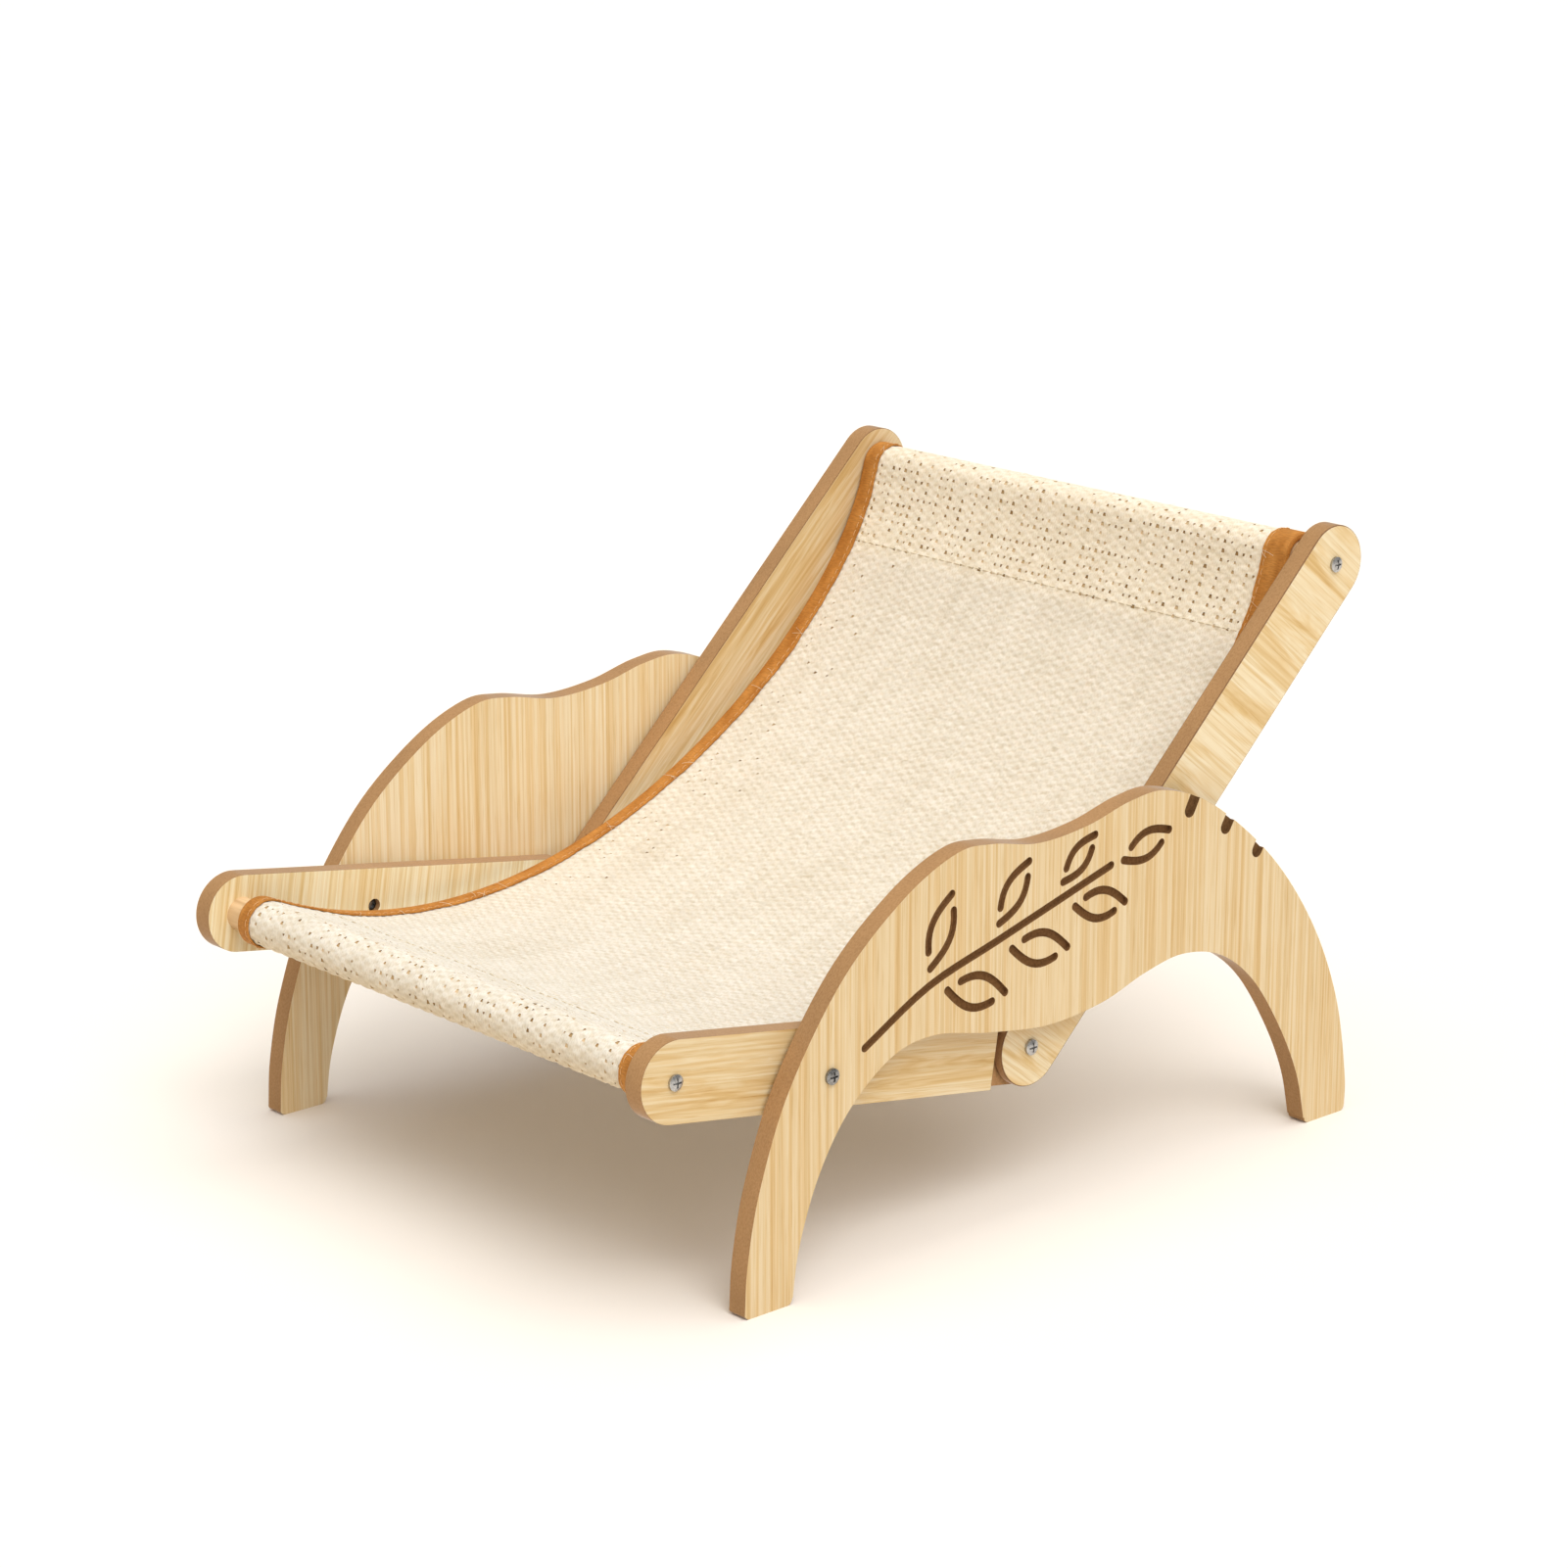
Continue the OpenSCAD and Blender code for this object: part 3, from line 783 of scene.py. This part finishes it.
sling.data.vertices.foreach_set("co", laid.ravel())
print("laid over", round(float(np.ptp(laid[:, 1])) / MM), "x", round(float(np.ptp(laid[:, 2])) / MM), "mm")

# %% Flat map of the cloth, in metres
corners = corner_points(sling)
flat_map = np.stack([
    (column[corners] + 0.5) / COLUMNS_PER_WARP * WARP_PITCH,
    (row[corners] + 0.5) * WEFT_PITCH,
], axis=1)
sling.data.uv_layers.active.data.foreach_set("uv", flat_map.ravel())
print("flat map", [round(float(size) / MM) for size in np.ptp(flat_map, axis=0)], "mm")

# %% Choose where the weave opens
# A gap can open at every second column and row, and every second column of these has wide gaps
GAP_COLUMNS = 2
WIDE_COLUMNS = 4
GAP_ROWS = 2
EDGE_COLUMNS = 4
EDGE_ROWS = 2
SISAL, GAP = 0, 1
# Chances of a gap, and the places along and across the cloth between which they change
GAP_KEPT = {"wide": 0.9, "slim": 0.45}
FRONT_SHARE = 0.6
TOP_SHARES = (0, 1, 1, 0.25)
SLEEVE_FRONT = (SHEET_FROM + 4 * MM, SHEET_FROM + 26 * MM)
SLEEVE_TOP = (SHEET_TO - 47 * MM, SHEET_TO - 40 * MM, SHEET_TO + 3 * MM, SHEET_TO + 10 * MM)
FAR_SIDE = (-SLING_HALF + 10 * MM, -SLING_HALF + 60 * MM)
FAR_RUNS = (SHEET_FROM + 150 * MM, SHEET_FROM + 200 * MM, SHEET_TO - 70 * MM, SHEET_TO - 40 * MM)


def gap_chance(run, across, kind):
    """How likely a gap is at a place. The sleeves have most, and slim ones follow the sheet's far edge."""
    front = np.interp(run, SLEEVE_FRONT, (FRONT_SHARE, 0))
    top = np.interp(run, SLEEVE_TOP, TOP_SHARES)
    beside = np.interp(across, FAR_SIDE, (1, 0)) * np.interp(run, FAR_RUNS, (0, 1, 1, 0))
    return GAP_KEPT[kind] * float(max(front, top, beside if kind == "slim" else 0))


# %% Mark the faces that open
# The sizes that each kind of gap is drawn from
GAP_SIZES = {"wide": (1, 2, 3), "slim": (3, 4, 4)}
GAP_SEED = 11
chance = random.Random(GAP_SEED)
for face in sling.data.polygons:
    first_column = min(column[i] for i in face.vertices)
    first_row = min(row[i] for i in face.vertices)
    clear = EDGE_COLUMNS < first_column < COLUMNS - 2 - EDGE_COLUMNS
    clear = clear and EDGE_ROWS <= first_row < ROWS - 1 - EDGE_ROWS
    on_grid = first_column % GAP_COLUMNS == 1 and first_row % GAP_ROWS == 0
    kind = "wide" if first_column % WIDE_COLUMNS == 1 else "slim"
    place = (first_column / COLUMNS * 2 - 1) * SLING_HALF
    if clear and on_grid and chance.random() < gap_chance(first_row * WEFT_PITCH, place, kind):
        face.material_index = chance.choice(GAP_SIZES[kind])
print("gaps", sum(face.material_index > SISAL for face in sling.data.polygons))

# %% Inset the gaps, each size in turn
# How far each size of gap is inset
GAP_INSETS = {1: 0.20 * MM, 2: 0.32 * MM, 3: 0.45 * MM, 4: 0.62 * MM}


def pick_faces(piece, wanted):
    """Selects the faces of a piece that a test accepts, and enters edit mode."""
    only(piece)
    bpy.ops.object.mode_set(mode="EDIT")
    bpy.ops.mesh.select_mode(type="FACE")
    bpy.ops.mesh.select_all(action="DESELECT")
    bpy.ops.object.mode_set(mode="OBJECT")
    for face in piece.data.polygons:
        face.select = wanted(face)
    bpy.ops.object.mode_set(mode="EDIT")


for size, inset in GAP_INSETS.items():
    pick_faces(sling, lambda face: face.material_index == size)
    bpy.ops.mesh.inset(thickness=inset, use_individual=True)
    bpy.ops.object.mode_set(mode="OBJECT")
    for face in sling.data.polygons:
        if face.material_index == size and not face.select:
            face.material_index = SISAL
for face in sling.data.polygons:
    face.material_index = min(face.material_index, GAP)
print("faces after the insets", len(sling.data.polygons))

# %% Give the cloth its thickness and push in the gaps
CLOTH_SKIN = 1.3 * MM
GAP_DEPTH = 0.45 * MM
SMOOTH_CLOTH_TO = math.radians(50)
applied(sling, "SOLIDIFY", thickness=CLOTH_SKIN, offset=0.0, use_even_offset=False)
pick_faces(sling, lambda face: face.material_index == GAP)
bpy.ops.mesh.extrude_faces_move(TRANSFORM_OT_shrink_fatten={"value": -GAP_DEPTH})
bpy.ops.object.mode_set(mode="OBJECT")
bpy.ops.object.shade_smooth_by_angle(angle=SMOOTH_CLOTH_TO)
print("sling faces", len(sling.data.polygons))

# %% [markdown]
# ## Sisal
# Sisal is pale and dry, with a little sheen and much variation from yarn to yarn. A pattern placed in space
# would cut through the bends, so this one reads the flat map of the sheet and follows the cloth round the
# dowels. The tone changes along each yarn and from bead to bead of the weave, and fine fibres give the
# surface its grain. A yarn is painted darker where it passes under another, which is painted shade, and the
# tone along the cloth's length is painted light and shade.

# %% Sums of patterns
def maths(tree, operation, *values, kind="ShaderNodeMath"):
    """One sum on up to three values, each a socket or a constant."""
    node = tree.nodes.new(kind)
    node.operation = operation
    for socket, value in zip(node.inputs, values):
        if isinstance(value, bpy.types.NodeSocket):
            tree.links.new(value, socket)
        else:
            socket.default_value = value
    return node.outputs[0]


def vector_maths(tree, operation, *values):
    """The same for places and colours."""
    return maths(tree, operation, *values, kind="ShaderNodeVectorMath")


# %% Patterns of the weave
def loosely_laid(tree, flat, scale, reach):
    """The flat map with a slight wander, because yarns are never laid quite straight."""
    noise = tree.nodes.new("ShaderNodeTexNoise")
    noise.inputs["Scale"].default_value = scale
    noise.inputs["Detail"].default_value = 1.0
    tree.links.new(flat, noise.inputs["Vector"])
    sideways = vector_maths(tree, "SUBTRACT", noise.outputs["Color"], grey(0.5))
    return vector_maths(tree, "ADD", flat, vector_maths(tree, "MULTIPLY", sideways, (reach, reach, 0)))


def cell_levels(tree, flat, width, length):
    """A random level from 0 to 1 for each cell of a grid."""
    noise = tree.nodes.new("ShaderNodeTexWhiteNoise")
    tree.links.new(vector_maths(tree, "SNAP", flat, (width, length, 1)), noise.inputs["Vector"])
    return noise.outputs["Value"]


def yarn_wave(tree, position, pitch):
    """A wave that is 0 between two yarns, 1 on the middle of one yarn and -1 on the next."""
    return maths(tree, "SINE", maths(tree, "MULTIPLY", position, math.pi / pitch))


def crossings(tree, laid_flat):
    """Where a yarn passes over, from 0 to 1, and how far along the cloth a place lies, as a share."""
    split = tree.nodes.new("ShaderNodeSeparateXYZ")
    tree.links.new(laid_flat, split.inputs["Vector"])
    crossing = maths(
        tree, "MULTIPLY",
        yarn_wave(tree, split.outputs["X"], WARP_PITCH), yarn_wave(tree, split.outputs["Y"], WEFT_PITCH),
    )
    over_under = maths(tree, "MULTIPLY_ADD", crossing, 0.5, 0.5)
    return over_under, maths(tree, "DIVIDE", split.outputs["Y"], PATH_LENGTH)


# %% Tones of the sisal
SISAL_PALE = (0.870, 0.802, 0.690)
SISAL_DEEP = (0.840, 0.765, 0.645)
YARN_TINT = (0.94, 0.93, 0.91)
FIBRE_TINT = (0.87, 0.85, 0.81)
# Painted shade where a yarn passes under another
UNDER_SHADE = (0.90, 0.86, 0.79)
HALF_UNDER_SHADE = (0.97, 0.955, 0.93)
# Painted light and shade along the cloth: the front of the front roll and the top sleeve are painted paler,
# the underside of the front roll darker and yellower, and the hanging sheet a little darker between them
CLOTH_LIGHT_AND_SHADE = [
    (run / PATH_LENGTH, tone) for run, tone in (
        (SHEET_FROM - 26 * MM, (0.87, 0.80, 0.67)),
        (SHEET_FROM - 14 * MM, (1.02, 1.04, 1.07)),
        (SHEET_FROM + 30 * MM, (0.945, 0.98, 1.03)),
        (SHEET_FROM + 110 * MM, (0.905, 0.92, 0.95)),
        (SHEET_FROM + 230 * MM, grey(0.94)),
        (SHEET_TO - 48 * MM, grey(0.975)),
        (SHEET_TO - 40 * MM, (1.08, 1.06, 1.02)),
    )
]
print("tones along the cloth:", len(CLOTH_LIGHT_AND_SHADE))

# %% Sisal material
YARN_WANDER = 3.0 * MM
WANDERS_PER_METRE = 210
TONES_PER_METRE = 9
FIBRE_SCALE = (1500, 650, 1)
BLOTCH_SCALE = (30, 22, 1)
FIBRE_SHARE = 0.35
CLOTH_SHADER = {
    "Sheen Weight": 0.1,
    "Sheen Roughness": 0.5,
    "Subsurface Weight": 0.3,
    "Subsurface Scale": 1.2 * MM,
    "Subsurface Radius": (1.0, 0.85, 0.65),
}


def woven_sisal(name, pale, deep):
    """Woven sisal: yarns that pass over and under each other, each with its own tone and its fibres."""
    material, tree, shader = start_material(name, roughness=0.85, specular=0.15)
    for socket, value in CLOTH_SHADER.items():
        shader.inputs[socket].default_value = value
    flat = coordinates(tree, "UV")
    laid_flat = loosely_laid(tree, flat, WANDERS_PER_METRE, YARN_WANDER)
    warp_tone = stretched_noise(tree, flat, (1 / WARP_PITCH, TONES_PER_METRE, 1), detail=2.0)
    weft_tone = stretched_noise(tree, flat, (TONES_PER_METRE, 1 / WEFT_PITCH, 1), detail=2.0)
    fibres = stretched_noise(tree, flat, FIBRE_SCALE, detail=3.0)
    blotch = stretched_noise(tree, flat, BLOTCH_SCALE, detail=3.0)
    over_under, along = crossings(tree, laid_flat)
    bead = cell_levels(tree, laid_flat, WARP_PITCH, WEFT_PITCH)
    colour = ramp(tree, blotch, [(0.3, deep), (0.62, pale)])
    # Painted light and shade along the cloth's length.
    colour = multiplied(tree, colour, ramp(tree, along, CLOTH_LIGHT_AND_SHADE))
    for pattern, dark, light in ((warp_tone, 0.3, 0.6), (weft_tone, 0.3, 0.6), (bead, 0.0, 0.8)):
        colour = multiplied(tree, colour, ramp(tree, pattern, [(dark, YARN_TINT), (light, grey(1.0))]))
    colour = multiplied(tree, colour, ramp(tree, fibres, [(0.36, FIBRE_TINT), (0.56, grey(1.0))]))
    # Painted shade: a yarn is darker where it dips under another.
    colour = multiplied(tree, colour, ramp(tree, over_under, [
        (0.08, UNDER_SHADE), (0.45, HALF_UNDER_SHADE), (0.8, grey(1.0)),
    ]))
    tree.links.new(colour, shader.inputs["Base Color"])
    height = maths(tree, "ADD", over_under, maths(tree, "MULTIPLY", fibres, FIBRE_SHARE))
    bumped(tree, shader, height, strength=0.4, distance=0.5 * MM)
    return material


# %% Gap material, painted shade
GAP_CELL = (2 * WARP_PITCH, 2 * WEFT_PITCH)
GAP_SHADE_TONES = [(0.0, (0.30, 0.18, 0.07)), (0.4, (0.50, 0.34, 0.165)), (1.0, (0.72, 0.56, 0.35))]


def painted_gap_shade(name):
    """Painted shade for the depth of a gap between yarns: brown, lighter in some gaps than in others."""
    material, tree, shader = start_material(name, roughness=0.9, specular=0.1)
    flat = coordinates(tree, "UV")
    level = cell_levels(tree, flat, *GAP_CELL)
    tree.links.new(ramp(tree, level, GAP_SHADE_TONES), shader.inputs["Base Color"])
    return material


sisal = woven_sisal("woven_sisal", SISAL_PALE, SISAL_DEEP)
for finish in (sisal, painted_gap_shade("painted_gap_shade")):
    sling.data.materials.append(finish)
print("sling finish:", sisal.name, "in the gaps:", sling.data.materials[GAP].name)

# %% [markdown]
# ## Edge bindings
# Each side of the cloth is bound with a folded tape, which shows as an orange-brown band on the sheet and as
# a cuff on both sleeves. Its section is a flat U round the edge of the cloth, carried along the sling's path.
# A curve with this section as its bevel would keep one width, and the tape was sewn by eye. So a grid is
# laid instead: its columns follow the U and its rows follow the path.

# %% The tape's section
# How far the right and the left tape lap, by the run along the sheet, both in millimetres
TAPE_LAPS = {
    1: [(0, 11.0), (400, 12.0), (470, 13.5)],
    -1: [(0, 7.5), (7, 3.2), (26, 3.2), (48, 8.5), (260, 7.8), (340, 9.5), (470, 9.5)],
}
TAPE_CLEAR = 0.28 * MM
TAPE_FLAT_POINTS = 6
TAPE_FOLD_POINTS = 5
FOLD_SHARE = 0.6
FOLD_RADIUS = CLOTH_SKIN / 2 + TAPE_CLEAR + TAPE_THICK / 2


def tape_width(side, run):
    """How far the tape laps over the cloth. It was sewn by eye, so this changes along each side."""
    runs, widths = np.array(TAPE_LAPS[side]).T * MM
    return np.interp(run - SHEET_FROM, runs, widths)


def tape_section():
    """Points of the U: the way in from the cloth's edge, as a share of the lap, and the height off it."""
    flat = np.linspace(1, 0, TAPE_FLAT_POINTS)
    turns = np.linspace(math.pi / 2, -math.pi / 2, TAPE_FOLD_POINTS + 2)[1:-1]
    upper = [(inward, FOLD_RADIUS) for inward in flat]
    fold = [(-math.cos(turn), FOLD_RADIUS * math.sin(turn)) for turn in turns]
    lower = [(inward, -FOLD_RADIUS) for inward in flat[::-1]]
    return np.array(upper + fold + lower)


TAPE_STEP = 2.0 * MM
tape_path = respaced(fine_path, TAPE_STEP)
tape_normals = normals_of(tape_path)
SECTION = tape_section()
print("tape section points", len(SECTION), "rows", len(tape_path))

# %% Lay a tape along the edge of the cloth
LAP_UNEVEN = 0.06
SHAKE_ROWS = 5


def lay_tape(tape, side, seed):
    """Moves the points of a flat grid to the tape's section along the path, and maps them flat."""
    spot, line = grid_places(tape, len(SECTION), len(tape_path))
    inward, height = SECTION[spot].T
    run = line * TAPE_STEP
    shake = np.random.default_rng(seed).normal(0, 1, (2, len(tape_path)))
    shake = np.stack([np.convolve(edge, np.ones(SHAKE_ROWS) / SHAKE_ROWS, mode="same") for edge in shake])
    uneven = 1 + LAP_UNEVEN * np.where(spot < len(SECTION) / 2, shake[0][line], shake[1][line])
    lap = tape_width(side, run) * uneven
    lapped = np.where(inward > 0, inward * lap, inward * FOLD_RADIUS * FOLD_SHARE)
    across = side * (SLING_HALF - lapped) + drift(run, side * SLING_HALF)
    place = tape_path[line] + height[:, None] * tape_normals[line]
    tape.data.vertices.foreach_set("co", np.stack([across, place[:, 0], place[:, 1]], axis=1).ravel())
    corners = corner_points(tape)
    tape_map = np.stack([inward[corners] * tape_width(side, SHEET_FROM), run[corners]], axis=1)
    tape.data.uv_layers.active.data.foreach_set("uv", tape_map.ravel())


# %% Make a binding
TAPE_SKIN = TAPE_THICK * 0.85


def make_binding(side, name, node, seed):
    """One folded tape, laid along one side of the cloth and given its thickness."""
    bpy.ops.object.select_all(action="DESELECT")
    bpy.ops.mesh.primitive_grid_add(
        x_subdivisions=len(SECTION) - 1, y_subdivisions=len(tape_path) - 1, size=1
    )
    tape = bpy.context.object
    tape.name = name
    lay_tape(tape, side, seed)
    applied(tape, "SOLIDIFY", thickness=TAPE_SKIN, offset=0.0)
    bpy.ops.object.mode_set(mode="EDIT")
    bpy.ops.mesh.select_all(action="SELECT")
    bpy.ops.mesh.normals_make_consistent(inside=False)
    bpy.ops.object.mode_set(mode="OBJECT")
    bpy.ops.object.shade_smooth_by_angle(angle=SMOOTH_CLOTH_TO)
    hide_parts(node)
    return tape


# %% Tape material
DYE_SCALE = (160, 60, 1)
RIB_SCALE = (350, 1500, 1)


def ribbed_tape(name, bright, deep):
    """Woven tape: fine ribs across it and an uneven dye."""
    material, tree, shader = start_material(name, roughness=0.75, specular=0.25)
    flat = coordinates(tree, "UV")
    dye = stretched_noise(tree, flat, DYE_SCALE, detail=3.0)
    ribs = stretched_noise(tree, flat, RIB_SCALE, detail=1.0)
    colour = ramp(tree, dye, [(0.3, deep), (0.65, bright)])
    colour = multiplied(tree, colour, ramp(tree, ribs, [(0.35, grey(0.80)), (0.6, grey(1.0))]))
    tree.links.new(colour, shader.inputs["Base Color"])
    bumped(tree, shader, ribs, strength=0.4, distance=0.4 * MM)
    return material


tape_finish = ribbed_tape("ribbed_tape", bright=(0.560, 0.238, 0.048), deep=(0.400, 0.144, 0.019))
binding_right = make_binding(1, "binding_tape_right", "binding_right", seed=3)
binding_left = make_binding(-1, "binding_tape_left", "binding_left", seed=4)
for tape in (binding_right, binding_left):
    tape.data.materials.clear()
    tape.data.materials.append(tape_finish)
    print(tape.name, len(tape.data.polygons), "faces")

# %% [markdown]
# ## Threads and stray fibres
# The bindings and hems are sewn with thread, and sisal is a stiff fibre that works loose: short pale hairs
# cross the bindings and stand off the sheet. Each thread or hair is a thin bent tube. Hair particles could
# draw them too, but a curve with a round section needs only a few points and is turned into mesh at the end.

# %% Thread and fibre helper
def thin_tubes(name, lines, radius, finish):
    """One mesh of round threads, one along each line of points."""
    curve = bpy.data.curves.new(name, "CURVE")
    curve.dimensions = "3D"
    curve.bevel_depth = radius
    curve.bevel_resolution = 0
    curve.use_fill_caps = True
    for line in lines:
        spline = curve.splines.new("POLY")
        spline.points.add(len(line) - 1)
        for point, place in zip(spline.points, line):
            point.co = (*place, 1)
    tubes = bpy.data.objects.new(name, curve)
    bpy.context.scene.collection.objects.link(tubes)
    only(tubes)
    bpy.ops.object.convert(target="MESH")
    tubes = bpy.context.object
    bpy.ops.object.shade_smooth()
    tubes.data.materials.clear()
    tubes.data.materials.append(finish)
    print(name, len(lines), "lines,", len(tubes.data.polygons), "faces")
    return tubes


# %% Finish of threads and fibres
SPUN_SCALE = (500, 500, 500)


def spun(name, pale, deep):
    """A thread's or fibre's finish: uneven tone along it."""
    material, tree, shader = start_material(name, roughness=0.8, specular=0.2)
    place = coordinates(tree, "Object")
    tone = stretched_noise(tree, place, SPUN_SCALE, detail=2.0)
    tree.links.new(ramp(tree, tone, [(0.35, deep), (0.65, pale)]), shader.inputs["Base Color"])
    return material


# %% Stitches of the bindings
STITCH_STEP = 4.6 * MM
STITCH_LENGTH = 3.3 * MM
STITCH_INSET = 1.7 * MM
THREAD_RADIUS = 0.22 * MM
# Heights along a stitch, over the face that it is sewn to
STITCH_RISES = (-0.25 * MM, 0.12 * MM, 0.15 * MM, 0.12 * MM, -0.25 * MM)
FIRST_STITCH = 3 * MM
LAST_STITCH = PATH_LENGTH - 6 * MM
TAPE_TOP = FOLD_RADIUS + TAPE_THICK / 2
UPPER, LOWER = 1, -1


def stitch(run, across, length_along, length_across, height, face):
    """A short thread on one face of the cloth, which dips in at both ends."""
    shares = np.linspace(0, 1, len(STITCH_RISES))
    return [
        cloth_point(run + share * length_along, across + share * length_across, face * (height + rise))
        for share, rise in zip(shares, STITCH_RISES)
    ]


tape_stitches = []
for side in (1, -1):
    for run in np.arange(FIRST_STITCH, LAST_STITCH, STITCH_STEP):
        across = side * (SLING_HALF - float(tape_width(side, run)) + STITCH_INSET)
        for face in (UPPER, LOWER):
            tape_stitches.append(stitch(run, across, STITCH_LENGTH, 0, TAPE_TOP, face))
tape_thread = spun("tape_thread", pale=(0.72, 0.42, 0.19), deep=(0.58, 0.30, 0.11))
stitches = thin_tubes("binding_stitches", tape_stitches, THREAD_RADIUS, tape_thread)

# %% Seams of the hems
SEAM_STEP = 5.2 * MM
SEAM_LENGTH = 3.8 * MM
SEAM_RUNS = (SHEET_FROM + 34 * MM, SHEET_TO - 41 * MM)
SEAM_LEFT = -SLING_HALF + 9 * MM
SEAM_RIGHT = SLING_HALF - 12 * MM
CLOTH_TOP = CLOTH_SKIN / 2 + WEAVE_RISE
seam_lines = [
    stitch(run, across, 0, SEAM_LENGTH, CLOTH_TOP, UPPER)
    for run in SEAM_RUNS
    for across in np.arange(SEAM_LEFT, SEAM_RIGHT, SEAM_STEP)
]
cream_thread = spun("cream_thread", pale=(0.78, 0.68, 0.50), deep=(0.62, 0.51, 0.34))
seams = thin_tubes("hem_seams", seam_lines, THREAD_RADIUS, cream_thread)

# %% Fibres that cross the bindings
FIBRES_PER_SIDE = 18
FIBRE_RADIUS = 0.08 * MM
FIBRE_RUNS = (SHEET_FROM - 25 * MM, SHEET_TO + 15 * MM)
# Ranges in millimetres: the start's distance from the tape, the reach, the slant, the lift and the bow
FIBRE_STARTS = (0.5, 3.0)
FIBRE_REACHES = (3.5, 11.0)
FIBRE_SLANTS = (-6, 6)
FIBRE_LIFTS = (0.1, 1.6)
FIBRE_BOWS = (-1.2, 1.2)
FIBRE_SHARES = (0, 0.2, 0.4, 0.6, 0.8, 1)
OVER_TAPE = TAPE_TOP - CLOTH_TOP + 0.15 * MM
# A hair is on the tape after 1 / CLIMB of its reach, and its lift follows a sine as far as ARCH radians
CLIMB = 3
ARCH = 2.2
FIBRE_SEED = 23
loose = random.Random(FIBRE_SEED)


def edge_fibre(side):
    """A hair that starts beside the tape, climbs onto it and arches over it."""
    run = loose.uniform(*FIBRE_RUNS)
    start = SLING_HALF - float(tape_width(side, run)) - loose.uniform(*FIBRE_STARTS) * MM
    reach = loose.uniform(*FIBRE_REACHES) * MM
    slant = loose.uniform(*FIBRE_SLANTS) * MM
    lift = loose.uniform(*FIBRE_LIFTS) * MM
    bow = loose.uniform(*FIBRE_BOWS) * MM
    return [
        cloth_point(
            run + slant * share + bow * math.sin(math.pi * share), side * (start + reach * share),
            CLOTH_TOP + OVER_TAPE * min(1, CLIMB * share) + lift * math.sin(ARCH * share),
        )
        for share in FIBRE_SHARES
    ]


fibre_lines = [edge_fibre(side) for side in (1, -1) for _ in range(FIBRES_PER_SIDE)]
print("fibres over the bindings", len(fibre_lines))

# %% Fuzz on the sheet
FUZZ_COUNT = 200
FUZZ_RUNS = (SHEET_FROM - 30 * MM, SHEET_TO + 20 * MM)
FUZZ_HALF = SLING_HALF - 14 * MM
FUZZ_ROOT = 0.3 * MM
# Ranges in millimetres
FUZZ_LENGTHS = (2.5, 6.5)
FUZZ_LIFTS = (0.3, 1.8)
FUZZ_SHARES = (0, 0.35, 0.7, 1)


def fuzz_fibre():
    """A short hair that stands off the cloth, in any direction."""
    run = loose.uniform(*FUZZ_RUNS)
    across = loose.uniform(-1, 1) * FUZZ_HALF
    turn = loose.uniform(0, 2 * math.pi)
    length = loose.uniform(*FUZZ_LENGTHS) * MM
    lift = loose.uniform(*FUZZ_LIFTS) * MM
    return [
        cloth_point(
            run + math.sin(turn) * length * share, across + math.cos(turn) * length * share,
            CLOTH_TOP - FUZZ_ROOT + lift * share,
        )
        for share in FUZZ_SHARES
    ]


fibre_lines += [fuzz_fibre() for _ in range(FUZZ_COUNT)]
loose_sisal = spun("loose_sisal", pale=(0.86, 0.77, 0.60), deep=(0.74, 0.63, 0.45))
fibres = thin_tubes("stray_fibres", fibre_lines, FIBRE_RADIUS, loose_sisal)

# %% [markdown]
# ## Settle the cloth pieces
# The cloth pieces keep their places: each one's transform is baked into its mesh, and the imported sling is
# hidden.

# %% Bake the cloth pieces
SEWN_ON = [binding_right, binding_left, stitches, seams, fibres]
for piece in [sling] + SEWN_ON:
    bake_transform(piece)
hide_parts("sling")
print("cloth cut:", round(2 * SLING_HALF, 3), "x", round(PATH_LENGTH, 3), "m")
